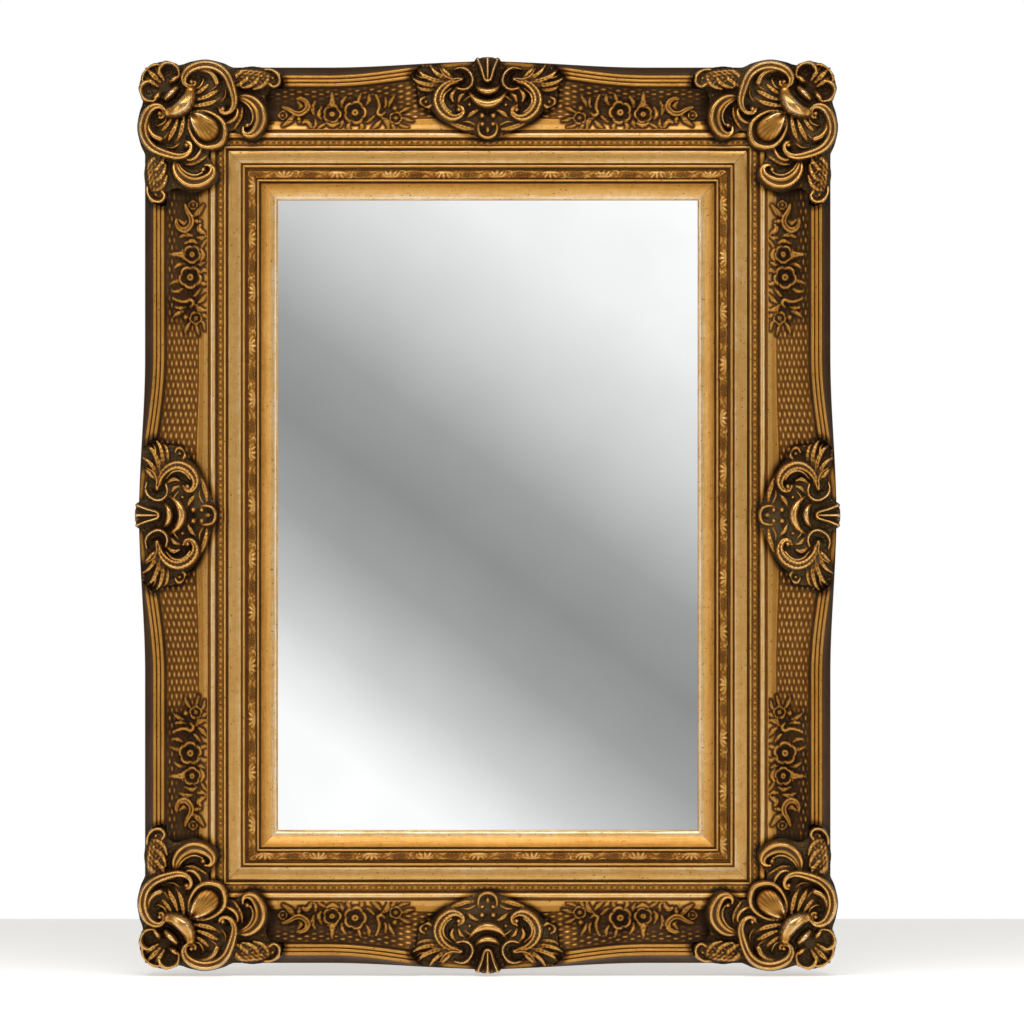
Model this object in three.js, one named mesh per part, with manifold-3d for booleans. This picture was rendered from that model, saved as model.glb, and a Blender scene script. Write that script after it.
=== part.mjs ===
// Wall mirror in a swept gilt frame with cast corner and middle ornaments.
// Millimetres. Each piece is drawn lying on its back: X along a rail, Y outward from the
// glass, Z up from the wall. The whole frame is then turned upright, so that in the finished
// model +X is right, +Z is up, the wall is the plane y = 0 and the front faces -Y.
import * as THREE from "three";
import { mergeVertices } from "three/addons/utils/BufferGeometryUtils.js";
import Module from "manifold-3d";

const wasm = await Module();
wasm.setup();

// The mirror opening that shows, and the clearance between pieces that touch.
const sightWidth = 600;
const sightHeight = 900;
const fitGap = 0.3;

// Glass and back board.
const glassThickness = 4;
const boardThickness = 11;
const glassRebate = 9;
const sightLipThickness = 4.5;

// The liner, from the glass outward: widths of its members and their heights above the wall.
const bevelWidth = 23;
const bevelHeight = 34;
const quirkWidth = 2.8;
const quirkDepth = 3;
const innerRidgeWidth = 3.6;
const innerRidgeHeight = 38;
const leafStripWidth = 13.4;
const leafStripHeight = 38;
const thinRidgeWidth = 4.4;
const thinRidgeHeight = 39;
const fasciaWidth = 18;
const fasciaHeight = 41;
const jointWidth = 3.2;

// The rail, from the liner outward.
const railLipThickness = 14;
const railRebate = 11;
const railLipRidge = 3.5;
const railLipHeight = 44;
const beadStripWidth = 8.5;
const beadStripHeight = 44.5;
const astragalRadius = 4.3;
const astragalHeight = 50;
const quirkBeside = 2.4;
const bandWidth = 13;
const bandHeight = 48;
const bandFall = 3;
const coveWidth = 45;
const coveFloor = 37;
const coveOuterHeight = 58;
const rimGroove = 3;
const reedWidth = 5.6;
const reedCount = 3;
const rimHeight = 65;
const sideSpread = 13.5;
const sideFoot = 20;

// The outward sweep of the rails toward the middle ornaments.
const sweepRise = 21;
const sweepReach = 228;
const bandSweepShare = 0.25;
const footSweepShare = 0.4;

// Castings: how far they stand over the rail's outer edge, their bed and their relief.
const cornerOverhang = 7;
const crestOverhang = 12;
const bedHeight = 36;
const groundThickness = 13.5;
const reliefHeight = 46;
const sprayRelief = 6.5;

// Sizes that follow from the ones above.
const boardBack = 0;
const glassBack = boardThickness + fitGap;
const glassFront = glassBack + glassThickness;
const sightLipBack = glassFront + fitGap;
const sightLipHeight = sightLipBack + sightLipThickness;
const linerWidth = bevelWidth + quirkWidth + innerRidgeWidth + leafStripWidth + quirkWidth
  + thinRidgeWidth + 1.7 + fasciaWidth;
const railInner = linerWidth + jointWidth;
const railOuter = railInner + railLipRidge + beadStripWidth + 2 * quirkBeside
  + 2 * astragalRadius + bandWidth + coveWidth + rimGroove + reedCount * reedWidth + sideSpread;
const railWidth = railOuter - railInner;
const railLipBack = railLipHeight - railLipThickness;
const linerOuter = railInner + railRebate - fitGap;
const castingBase = bedHeight + fitGap;
const groundTop = castingBase + groundThickness;

// The ornaments below are drawn in mm for a corner that reaches 125 from the rail's inner edge,
// a middle ornament that reaches 130, sprays on a rail 117 wide, and relief 46 above its bed.
const cornerUnit = (railWidth + cornerOverhang) / 125;
const crestUnit = (railWidth + crestOverhang) / 130;
const sprayUnit = railWidth / 117;
const reliefUnit = reliefHeight / 46;

const giltCarving = { color: 0x9a7038, roughness: 0.42, metalness: 0.85 };
const giltRail = { color: 0xb98d4e, roughness: 0.38, metalness: 0.85 };
const giltLiner = { color: 0xc99b58, roughness: 0.4, metalness: 0.85 };
const silveredGlass = { color: 0xc9cdcf, roughness: 0.03, metalness: 1 };
const pineBoard = { color: 0xb08a5c, roughness: 0.8, metalness: 0 };

// Turns a geometry into a closed solid that can be joined and cut.
function toSolid(geometry) {
  const bare = geometry.clone();
  bare.deleteAttribute("normal");
  bare.deleteAttribute("uv");
  const merged = mergeVertices(bare, 1e-4);
  const positions = new Float32Array(merged.attributes.position.array);
  const triangles = new Uint32Array(merged.index.array);
  return new wasm.Manifold(new wasm.Mesh({
    numProp: 3, vertProperties: positions, triVerts: triangles,
  }));
}

function toGeometry(solid) {
  const mesh = solid.getMesh();
  const geometry = new THREE.BufferGeometry();
  geometry.setAttribute("position", new THREE.BufferAttribute(mesh.vertProperties, 3));
  geometry.setIndex(new THREE.BufferAttribute(mesh.triVerts, 1));
  geometry.computeVertexNormals();
  return geometry;
}

// A geometry from points and faces, with every face turned outward.
function closedGeometry(points, faces) {
  let volume = 0;
  for (const [i, j, k] of faces) {
    volume += points[i].dot(points[j].clone().cross(points[k]));
  }
  const index = faces.flatMap(([i, j, k]) => (volume < 0 ? [i, k, j] : [i, j, k]));
  const geometry = new THREE.BufferGeometry().setFromPoints(points);
  geometry.setIndex(index);
  return geometry;
}

// The sweep of a rail: how far its outer members stand out at a distance from its middle.
function sweepAt(along) {
  const share = Math.min(Math.abs(along) / sweepReach, 1);
  return sweepRise * (0.5 + 0.5 * Math.cos(Math.PI * share));
}

// A half circle of a moulding, as section points from one foot to the other.
function roundMember(start, width, foot, top, steps) {
  const points = [];
  for (let i = 0; i <= steps; i += 1) {
    const angle = Math.PI * i / steps;
    points.push([start + width * (0.5 - 0.5 * Math.cos(angle)), foot + (top - foot) * Math.sin(angle)]);
  }
  return points;
}

// A hollow of a moulding, as section points, with its lowest point at a share of its width.
function hollowMember(start, width, first, floor, last, lowAt, steps) {
  const points = [];
  for (let i = 0; i <= steps; i += 1) {
    const share = i / steps;
    const fall = share < lowAt ? 1 - share / lowAt : (share - lowAt) / (1 - lowAt);
    const edge = share < lowAt ? first : last;
    points.push([start + width * share, floor + (edge - floor) * fall ** 1.6]);
  }
  return points;
}

// Leaves out a point of a section that repeats the one before it.
function withoutRepeats(section) {
  return section.filter(([out, up], i) => {
    const [lastOut, lastUp] = section[(i + section.length - 1) % section.length];
    return Math.hypot(out - lastOut, up - lastUp) > 0.01;
  });
}

// The liner's section, from the sight edge outward and back under the rail's lip.
function linerSection() {
  const section = hollowMember(0, bevelWidth, sightLipHeight, sightLipHeight + 3, bevelHeight, 0.01, 2);
  let at = bevelWidth;
  section.push([at, bevelHeight - quirkDepth], [at + quirkWidth, bevelHeight - quirkDepth]);
  at += quirkWidth;
  section.push(...roundMember(at, innerRidgeWidth, bevelHeight, innerRidgeHeight, 2));
  at += innerRidgeWidth;
  section.push(...roundMember(at, leafStripWidth, leafStripHeight - 4, leafStripHeight, 3));
  at += leafStripWidth;
  section.push([at + quirkWidth, leafStripHeight - 3]);
  at += quirkWidth;
  section.push(...roundMember(at, thinRidgeWidth, leafStripHeight - 2, thinRidgeHeight, 2));
  at = linerWidth - fasciaWidth;
  section.push([at, thinRidgeHeight - quirkDepth], [at + 0.5, fasciaHeight - 2]);
  section.push([linerWidth - 1, fasciaHeight], [linerWidth, fasciaHeight - 1]);
  section.push([linerWidth, railLipBack - fitGap], [linerOuter, railLipBack - fitGap]);
  section.push([linerOuter, glassBack], [glassRebate, glassBack]);
  section.push([glassRebate, sightLipBack], [0, sightLipBack]);
  return withoutRepeats(section);
}

// The rail's section: each point is how far out, how high, and its share of the sweep.
function railSection() {
  let at = railInner;
  const straight = roundMember(at, railLipRidge, railLipHeight - 2, railLipHeight, 2);
  at += railLipRidge;
  straight.push([at + 0.4, beadStripHeight], [at + beadStripWidth, beadStripHeight]);
  at += beadStripWidth;
  straight.push([at + 0.3, bandHeight - bandFall - 2], [at + quirkBeside, bandHeight - bandFall - 2]);
  at += quirkBeside;
  straight.push(...roundMember(at, 2 * astragalRadius, bandHeight - bandFall, astragalHeight, 4));
  at += 2 * astragalRadius;
  straight.push([at + quirkBeside, bandHeight - bandFall - 1]);
  at += quirkBeside;
  straight.push([at + 0.5, bandHeight]);
  const section = straight.map(([out, up]) => [out, up, 0]);
  at += bandWidth;
  section.push([at, bandHeight - bandFall, bandSweepShare]);
  const cove = hollowMember(at, coveWidth, bandHeight - bandFall - 2, coveFloor, coveOuterHeight, 0.35, 3);
  for (const [out, up] of cove) {
    const share = (out - at) / coveWidth;
    section.push([out + 0.1, up, bandSweepShare + (1 - bandSweepShare) * share]);
  }
  at += coveWidth;
  section.push([at + rimGroove, coveOuterHeight, 1]);
  at += rimGroove;
  for (let reed = 0; reed < reedCount; reed += 1) {
    const member = roundMember(at, reedWidth, rimHeight - 3, rimHeight, 2);
    section.push(...member.slice(reed === 0 ? 0 : 1).map(([out, up]) => [out, up, 1]));
    at += reedWidth;
  }
  section.push([at + 0.11 * sideSpread, 0.86 * rimHeight, 0.95]);
  section.push([at + 0.33 * sideSpread, 0.62 * rimHeight, 0.8]);
  section.push([railOuter, sideFoot, footSweepShare]);
  section.push([railOuter, boardBack, footSweepShare]);
  section.push([railInner + railRebate, boardBack, 0]);
  section.push([railInner + railRebate, railLipBack, 0], [railInner, railLipBack, 0]);
  return withoutRepeats(section);
}

// A length of moulding with mitred ends. Members that sweep out have stations along the rail,
// and the straight ones run from mitre to mitre, so neighbours of two kinds meet in fans.
function mouldingGeometry(section, halfSight, stations) {
  const points = [];
  const lines = section.map(([out, up, share = 0]) => {
    const end = halfSight + out - fitGap;
    const places = share > 0 ? [-end, ...stations, end] : [-end, end];
    return places.map((along) => {
      points.push(new THREE.Vector3(along, out + share * sweepAt(along), up));
      return points.length - 1;
    });
  });
  const faces = [];
  lines.forEach((line, i) => {
    const next = lines[(i + 1) % lines.length];
    let a = 0;
    let b = 0;
    while (a < line.length - 1 || b < next.length - 1) {
      const stepA = a < line.length - 1 && (a + 1) / (line.length - 1) <= (b + 1) / (next.length - 1);
      if (stepA || b === next.length - 1) {
        faces.push([line[a], line[a + 1], next[b]]);
        a += 1;
      } else {
        faces.push([line[a], next[b + 1], next[b]]);
        b += 1;
      }
    }
  });
  const outline = section.map(([out, up]) => new THREE.Vector2(out, up));
  const clockwise = THREE.ShapeUtils.isClockWise(outline);
  for (const triangle of THREE.ShapeUtils.triangulateShape(outline, [])) {
    const corners = triangle.map((i) => outline[i]);
    const agrees = THREE.ShapeUtils.isClockWise(corners) === clockwise;
    const [i, j, k] = agrees ? triangle : [...triangle].reverse();
    const [near, far] = [lines.map((line) => line[0]), lines.map((line) => line[line.length - 1])];
    faces.push([near[i], near[j], near[k]], [far[i], far[k], far[j]]);
  }
  return closedGeometry(points, faces);
}

// Sections of a carved stroke: across from -1 to 1, and up from foot to crest.
const strokeSections = {
  ridge: [[-1, 0], [0, 1], [1, 0]],
  round: [[-1, 0], [-0.7, 0.75], [0, 1], [0.7, 0.75], [1, 0]],
  flute: [[-1, 0], [-0.6, 1], [0, 0.6], [0.6, 1], [1, 0]],
};

// A value along a list of settings, from its first at 0 to its last at 1.
function alongList(list, share) {
  const place = share * (list.length - 1);
  const low = Math.min(Math.floor(place), list.length - 2);
  return THREE.MathUtils.lerp(list[low], list[low + 1], place - low);
}

// A carved stroke: a section carried along a smooth curve through points [x, y, crest height
// above the bed], with half widths from a list and one ring at each station.
function strokeGeometry({ through, widths, section = "ridge", stations, unit }) {
  const knots = through.map(([x, y, crest]) => new THREE.Vector3(x * unit, y * unit, crest * reliefUnit));
  const curve = new THREE.CatmullRomCurve3(knots, false, "centripetal");
  const shape = strokeSections[section];
  const points = [];
  for (let i = 0; i <= stations; i += 1) {
    const share = i / stations;
    const centre = curve.getPointAt(share);
    const tangent = curve.getTangentAt(share);
    const level = Math.hypot(tangent.x, tangent.y);
    const half = unit * alongList(widths, share);
    for (const [across, rise] of shape) {
      points.push(new THREE.Vector3(
        centre.x - half * across * tangent.y / level,
        centre.y + half * across * tangent.x / level,
        groundTop + (castingBase + centre.z - groundTop) * rise,
      ));
    }
  }
  const count = shape.length;
  const faces = [];
  for (let i = 0; i < stations; i += 1) {
    for (let j = 0; j < count; j += 1) {
      const a = i * count + j;
      const b = i * count + (j + 1) % count;
      faces.push([a, b, a + count], [b, b + count, a + count]);
    }
  }
  for (let j = 1; j < count - 1; j += 1) {
    faces.push([0, j + 1, j]);
    const end = stations * count;
    faces.push([end, end + j, end + j + 1]);
  }
  return closedGeometry(points, faces);
}

// A bead or berry that rises from the ground to a height above the bed.
function beadGeometry([x, y, radius, crest], unit) {
  const bead = new THREE.ConeGeometry(1, 1, 6);
  bead.rotateX(Math.PI / 2);
  bead.translate(0, 0, 0.5);
  bead.scale(radius * unit, radius * unit, castingBase + crest * reliefUnit - groundTop);
  bead.translate(x * unit, y * unit, groundTop);
  return bead;
}

// A smooth closed plan outline through points, given as half of a mirrored shape.
function closedOutline(points, samples, unit) {
  const knots = points.map(([x, y]) => new THREE.Vector3(x * unit, y * unit, 0));
  const curve = new THREE.CatmullRomCurve3(knots, true, "centripetal");
  return curve.getSpacedPoints(samples).slice(0, samples).map((p) => new THREE.Vector2(p.x, p.y));
}

// Moves an outline outward by a distance along its corner normals.
function growOutline(outline, distance) {
  const side = THREE.ShapeUtils.area(outline) > 0 ? 1 : -1;
  return outline.map((point, i) => {
    const before = outline[(i + outline.length - 1) % outline.length];
    const after = outline[(i + 1) % outline.length];
    const run = after.clone().sub(before).normalize();
    return new THREE.Vector2(point.x + side * distance * run.y, point.y - side * distance * run.x);
  });
}

function prismGeometry(outline, from, to) {
  const prism = new THREE.ExtrudeGeometry(new THREE.Shape(outline), {
    depth: to - from, bevelEnabled: false, steps: 1,
  });
  prism.translate(0, 0, from);
  return prism;
}

// A casting: its strokes and beads fused to a ground, kept within its plan outline.
function castingSolid(design, unit) {
  let solid = toSolid(prismGeometry(design.outline, castingBase, groundTop));
  const relief = [
    ...design.strokes.map((stroke) => strokeGeometry({ ...stroke, unit })),
    ...design.beads.map((bead) => beadGeometry(bead, unit)),
  ];
  for (const form of relief) {
    solid = solid.add(toSolid(form));
  }
  const limit = toSolid(prismGeometry(design.outline, castingBase, 2 * groundTop));
  return solid.intersect(limit);
}

const swapped = (points) => points.map(([x, y, ...rest]) => [y, x, ...rest]);
const flipped = (points) => points.map(([x, y, ...rest]) => [-x, y, ...rest]);
const withMirror = (items, mirror) => items.flatMap((item) => [
  item, { ...item, through: mirror(item.through) },
]);

// The corner cartouche. x and y run outward from the rails' inner corner, and it is the same
// on both sides of its diagonal.
function cornerDesign() {
  const half = [
    [114, 114], [122, 104], [126, 88], [121, 68], [126, 50], [129, 28], [124, 4], [117, -14],
    [119, -40], [113, -70], [101, -92], [82, -93], [74, -62], [45, -65], [17, -55], [9, -39],
    [17, -22], [22, -8], [10, -2], [1, 1],
  ];
  const outline = closedOutline([...half, ...swapped(half.slice(1, -1)).reverse()], 28, cornerUnit);
  const sideStrokes = [
    { // big C scroll, a bead at each end
      through: [[94, 48, 31], [90, 56, 33], [99, 59, 35], [109, 54, 36], [116, 43, 36], [119, 28, 36],
        [115, 12, 36], [104, -1, 35], [86, -10, 34], [67, -13, 33], [54, -8, 31], [53, 3, 27]],
      widths: [4.5, 4, 6, 7, 7, 7, 6.5, 5.5, 4, 4.5], section: "flute", stations: 8,
    },
    { // leaf inside the big C
      through: [[107, 41, 24], [108, 24, 29], [89, 8, 22]], widths: [2, 5, 3], stations: 2,
    },
    { // broad C scroll with a lengthwise groove
      through: [[68, -25, 27], [66, -42, 31], [54, -52, 33], [40, -53, 33], [28, -47, 32], [21, -36, 30],
        [28, -30, 27]],
      widths: [4, 7, 8.5, 8.5, 8, 6, 4], section: "flute", stations: 6,
    },
    { // leaf on the rim, along the rail, ending in a curl
      through: [[100, -15, 24], [100, -36, 30], [98, -60, 29], [90, -84, 22]],
      widths: [10, 15, 13, 5], section: "ridge", stations: 4,
    },
    { // small C at the outer tip
      through: [[108, 99, 26], [117, 90, 29], [116, 78, 30], [108, 70, 29], [97, 71, 26]],
      widths: [1.5, 3.2, 3.6, 3.2, 4], stations: 4,
    },
    { through: [[60, 43, 24], [61, 27, 26], [69, 14, 16]], widths: [3, 7, 1], stations: 2 },
    { through: [[58, -20, 22], [47, -16, 25], [35, -11, 16]], widths: [1, 4, 1], stations: 2 },
  ];
  const shellRibs = [];
  const ribCount = 3;
  for (let i = 0; i < ribCount; i += 1) {
    const angle = THREE.MathUtils.degToRad(176 + 98 * i / (ribCount - 1));
    const tip = [22 + 18 * Math.cos(angle), 22 + 18 * Math.sin(angle), 17];
    shellRibs.push({ through: [[45, 45, 27], [(44 + tip[0]) / 2, (44 + tip[1]) / 2, 27], tip],
      widths: [3, 6.5, 6], stations: 2 });
  }
  const middleStrokes = [
    { // kidney boss
      through: [[50, 78, 34], [54.5, 69, 44], [60, 60, 46], [69, 54.5, 44], [78, 50, 34]],
      widths: [6, 10.5, 11.5, 10.5, 6], section: "round", stations: 5,
    },
    { through: [[67, 85, 28], [76, 76, 37], [85, 67, 28]], widths: [2, 5.5, 2], stations: 2 },
    { // rim of the shell
      through: [[-1, 31, 18], [0, 16, 20], [5, 5, 21], [16, 0, 20], [31, -1, 18], [42, 11, 18]],
      widths: [2.2, 2.6, 2.8, 2.6, 2.2], stations: 5,
    },
    ...shellRibs,
  ];
  return {
    outline,
    strokes: [...withMirror(sideStrokes, swapped), ...middleStrokes],
    beads: [[105, 105, 5, 29]],
  };
}

// The middle ornament. x runs along the rail from its middle, y outward from its inner edge.
function crestDesign() {
  const half = [
    [0, 130], [17, 130], [25, 119], [42, 116], [58, 113], [76, 121], [96, 121], [113, 103],
    [104, 88], [100, 66], [84, 55], [70, 40], [46, 27], [18, 15], [0, 12],
  ];
  const outline = closedOutline([...half, ...flipped(half.slice(1, -1)).reverse()], 24, crestUnit);
  const sideStrokes = [
    { // outer prong of the plume
      through: [[4, 94, 30], [8, 110, 36], [15, 127, 38]],
      widths: [2.2, 3, 3.5], stations: 2,
    },
    { // volute beside the plume
      through: [[48, 107, 26], [39, 111, 30], [28, 108, 33], [22, 98, 34], [26, 87, 33], [36, 84, 31],
        [46, 90, 28]],
      widths: [2.6, 2.8, 3, 3.2, 3, 2.8, 2.6], stations: 6,
    },
    { // big C scroll
      through: [[56, 90, 26], [67, 80, 32], [71, 63, 35], [65, 49, 35], [52, 42, 33], [40, 45, 30],
        [35, 55, 26]],
      widths: [3, 6, 7, 7, 6, 5, 5], stations: 6,
    },
    { // thin outer scroll
      through: [[58, 36, 19], [40, 30, 24], [24, 27, 19]], widths: [1, 3.2, 1], stations: 2,
    },
    { through: [[56, 98, 24], [76, 108, 30], [94, 116, 22]], widths: [3, 6.5, 1], stations: 2 },
    { through: [[58, 95, 22], [84, 99, 28], [108, 101, 19]], widths: [2, 6, 1], stations: 2 },
    { // small leaf below them
      through: [[78, 82, 19], [88, 72, 24], [97, 76, 18]], widths: [3, 4.5, 1], stations: 2,
    },
  ];
  const middleStrokes = [
    { through: [[0, 92, 30], [0, 110, 36], [0, 128, 39]], widths: [2.2, 3, 3.6], stations: 2 },
    { // small crescent
      through: [[-18, 86, 24], [0, 77.5, 34], [18, 86, 24]], widths: [0.6, 4, 0.6], stations: 4,
    },
    { // big crescent
      through: [[-28, 77, 22], [-17, 66, 31], [0, 61, 34], [17, 66, 31], [28, 77, 22]],
      widths: [0.6, 4.5, 5.5, 4.5, 0.6], stations: 5,
    },
    { // ring of the rosette
      through: [[-9, 37, 18], [-12, 28, 20], [0, 16.5, 21], [12, 28, 20], [9, 37, 18]],
      widths: [1.5, 2.4, 2.6, 2.4, 1.5], stations: 5,
    },
  ];
  const beads = [];
  for (const [x, y, radius] of [[8, 46, 4], [7, 35, 3.4]]) {
    beads.push([x, y, radius, 21], [-x, y, radius, 21]);
  }
  return { outline, strokes: [...withMirror(sideStrokes, flipped), ...middleStrokes], beads };
}

const corner = cornerDesign();
const crest = crestDesign();

// A cast flower: a lobed mound with one notch between each two petals.
function flowerGeometry(x, y, radius, petals, base) {
  const points = [new THREE.Vector3(x, y, base + 3 + sprayRelief)];
  const count = 2 * petals;
  for (let i = 0; i < count; i += 1) {
    const angle = 2 * Math.PI * i / count;
    const reach = radius * (i % 2 === 0 ? 1 : 0.6);
    points.push(new THREE.Vector3(x + reach * Math.cos(angle), y + reach * Math.sin(angle), base));
  }
  points.push(new THREE.Vector3(x, y, base - 1));
  const faces = [];
  for (let i = 0; i < count; i += 1) {
    const a = 1 + i;
    const b = 1 + (i + 1) % count;
    faces.push([0, a, b], [points.length - 1, b, a]);
  }
  return closedGeometry(points, faces);
}

// A cast leaf: a long four-sided mound from root to tip.
function leafGeometry([x0, y0], [x1, y1], halfWidth, base) {
  const run = new THREE.Vector2(x1 - x0, y1 - y0);
  const side = new THREE.Vector2(-run.y, run.x).normalize().multiplyScalar(halfWidth);
  const waist = new THREE.Vector2(x0, y0).addScaledVector(run, 0.4);
  const plan = [[x0, y0], [waist.x + side.x, waist.y + side.y], [x1, y1], [waist.x - side.x, waist.y - side.y]];
  const points = plan.map(([x, y]) => new THREE.Vector3(x, y, base - 1));
  points.push(new THREE.Vector3(waist.x, waist.y, base + 3 + 0.6 * sprayRelief));
  const faces = [[0, 1, 4], [1, 2, 4], [2, 3, 4], [3, 0, 4], [0, 2, 1], [0, 3, 2]];
  return closedGeometry(points, faces);
}

// The cove's height at a distance from the rail's inner edge, where the sprays sit.
function coveHeightAt(out) {
  const start = railOuter - sideSpread - reedCount * reedWidth - rimGroove - coveWidth;
  const share = (out - start) / coveWidth;
  const fall = share < 0.35 ? 1 - share / 0.35 : (share - 0.35) / 0.65;
  const edge = share < 0.35 ? bandHeight - bandFall - 2 : coveOuterHeight;
  return coveFloor + (edge - coveFloor) * Math.min(Math.abs(fall), 1) ** 1.6;
}

// One flower spray, from beside the corner toward the middle of the rail.
function spraySolids(halfSight, side) {
  const place = (along, out) => [side * (halfSight - along * sprayUnit), railInner + out * sprayUnit];
  const forms = [];
  for (const [along, out, radius, petals] of [[76, 50.5, 13.5, 4], [108, 53, 16.5, 5]]) {
    const [x, y] = place(along, out);
    forms.push(flowerGeometry(x, y, radius * sprayUnit, petals, coveHeightAt(y) - 1));
  }
  const leafRoot = place(144, 38);
  const leafTip = place(146, 72);
  const leafMiddle = (leafRoot[1] + leafTip[1]) / 2;
  forms.push(leafGeometry(leafRoot, leafTip, 6 * sprayUnit, coveHeightAt(leafMiddle) - 1));
  return forms.map(toSolid);
}

// Between its leaves the middle ornament's bed runs on to the rail's edge.
function edgeBedOutline() {
  const half = 88 * crestUnit;
  const from = railOuter - sideSpread;
  const to = railOuter + 2 * sweepRise;
  return [[-half, from], [half, from], [half, to], [-half, to]].map((p) => new THREE.Vector2(...p));
}

// A rail: swept moulding with flat beds cut for its middle ornament and its two corners.
function railGeometry(halfSight) {
  const stations = [-1, -0.72, -0.48, 0, 0.48, 0.72, 1].map((share) => share * sweepReach);
  let rail = toSolid(mouldingGeometry(railSection(), halfSight, stations));
  for (const side of [-1, 1]) {
    for (const form of spraySolids(halfSight, side)) {
      rail = rail.add(form);
    }
  }
  const crestBed = growOutline(crest.outline, fitGap).map((p) => new THREE.Vector2(p.x, railInner + p.y));
  const cornerBed = growOutline(corner.outline, fitGap);
  const beds = [crestBed, edgeBedOutline()];
  for (const side of [-1, 1]) {
    const placed = cornerBed.map((p) => new THREE.Vector2(side * (halfSight + railInner + p.x), railInner + p.y));
    beds.push(placed);
  }
  for (const bed of beds) {
    rail = rail.subtract(toSolid(prismGeometry(bed, bedHeight, 2 * groundTop)));
  }
  return toGeometry(rail);
}

function mesh(name, geometry, finish) {
  const made = new THREE.Mesh(geometry, new THREE.MeshStandardMaterial(finish));
  made.name = name;
  return made;
}

// A plate in the plane of the glass, from one height to another.
function plateGeometry(width, height, from, to) {
  const plate = new THREE.BoxGeometry(width, height, to - from);
  plate.translate(0, 0, (from + to) / 2);
  return plate;
}

const halfWidth = sightWidth / 2;
const halfHeight = sightHeight / 2;
const quarterTurn = Math.PI / 2;
const sides = [
  { name: "top", at: [0, halfHeight], turn: 0, half: halfWidth },
  { name: "right", at: [halfWidth, 0], turn: -quarterTurn, half: halfHeight },
  { name: "bottom", at: [0, -halfHeight], turn: 2 * quarterTurn, half: halfWidth },
  { name: "left", at: [-halfWidth, 0], turn: quarterTurn, half: halfHeight },
];
const corners = [
  { name: "top_right", at: [halfWidth, halfHeight], turn: 0 },
  { name: "bottom_right", at: [halfWidth, -halfHeight], turn: -quarterTurn },
  { name: "bottom_left", at: [-halfWidth, -halfHeight], turn: 2 * quarterTurn },
  { name: "top_left", at: [-halfWidth, halfHeight], turn: quarterTurn },
];

const mirror = new THREE.Group();
mirror.rotation.x = quarterTurn;

const glassReach = 2 * (glassRebate - fitGap);
mirror.add(mesh("mirror_plate",
  plateGeometry(sightWidth + glassReach, sightHeight + glassReach, glassBack, glassFront), silveredGlass));
const boardReach = 2 * linerOuter;
mirror.add(mesh("backing_board",
  plateGeometry(sightWidth + boardReach, sightHeight + boardReach, boardBack, boardThickness), pineBoard));

const crestGeometry = toGeometry(castingSolid(crest, crestUnit));
crestGeometry.translate(0, railInner, 0);
for (const { name, at, turn, half } of sides) {
  const side = new THREE.Group();
  side.position.set(at[0], at[1], 0);
  side.rotation.z = turn;
  side.add(mesh(`liner_${name}`, mouldingGeometry(linerSection(), half, []), giltLiner));
  side.add(mesh(`rail_${name}`, railGeometry(half), giltRail));
  side.add(mesh(`crest_${name}`, crestGeometry, giltCarving));
  mirror.add(side);
}

const cornerGeometry = toGeometry(castingSolid(corner, cornerUnit));
cornerGeometry.translate(railInner, railInner, 0);
for (const { name, at, turn } of corners) {
  const cartouche = mesh(`corner_${name}`, cornerGeometry, giltCarving);
  cartouche.position.set(at[0], at[1], 0);
  cartouche.rotation.z = turn;
  mirror.add(cartouche);
}

export default mirror;
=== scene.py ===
# A wall mirror in a swept antique-gilt frame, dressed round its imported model.
# Metres, +X right, +Z up, the wall is the plane y = 0 and the front faces -Y.
import math

import bmesh
import bpy
import numpy as np
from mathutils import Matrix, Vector


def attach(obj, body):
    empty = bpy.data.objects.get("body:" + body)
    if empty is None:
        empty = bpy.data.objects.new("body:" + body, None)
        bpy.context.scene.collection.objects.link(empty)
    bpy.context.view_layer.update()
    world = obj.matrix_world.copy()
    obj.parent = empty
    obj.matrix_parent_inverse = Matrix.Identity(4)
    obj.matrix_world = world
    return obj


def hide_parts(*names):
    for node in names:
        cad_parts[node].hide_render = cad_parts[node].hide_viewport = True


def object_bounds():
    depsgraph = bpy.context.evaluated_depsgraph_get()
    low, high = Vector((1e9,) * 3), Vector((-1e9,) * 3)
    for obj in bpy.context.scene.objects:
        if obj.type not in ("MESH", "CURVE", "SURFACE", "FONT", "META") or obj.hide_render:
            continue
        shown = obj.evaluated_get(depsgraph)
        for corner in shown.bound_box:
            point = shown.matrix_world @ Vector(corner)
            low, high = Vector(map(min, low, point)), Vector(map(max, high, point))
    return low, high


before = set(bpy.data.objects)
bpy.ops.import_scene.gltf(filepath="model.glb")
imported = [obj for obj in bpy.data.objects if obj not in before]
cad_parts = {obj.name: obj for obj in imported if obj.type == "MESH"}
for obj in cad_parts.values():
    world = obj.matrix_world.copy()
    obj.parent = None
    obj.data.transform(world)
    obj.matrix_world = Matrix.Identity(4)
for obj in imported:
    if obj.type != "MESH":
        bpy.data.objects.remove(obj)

cadLow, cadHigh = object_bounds()

# Every moulding and casting is worked out lying on its back, in millimetres: x along a rail from
# its middle, y outward from the sight edge, h up from the wall. standUp then turns it upright.
opening = {"halfWidth": 300.0, "halfHeight": 450.0, "gap": 0.3}
toMetres = 0.001
quarter = math.pi / 2


def standUp(plan, at, turn):
    # The plan (x, y) is turned about the middle of the mirror and moved to its side, and the
    # height h becomes the distance in front of the wall: (X, Y, h) -> (X, -h, Y).
    x, y, h = plan[:, 0], plan[:, 1], plan[:, 2]
    placedX = at[0] + x * math.cos(turn) - y * math.sin(turn)
    placedY = at[1] + x * math.sin(turn) + y * math.cos(turn)
    return np.column_stack([placedX, -h, placedY]) * toMetres


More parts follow.
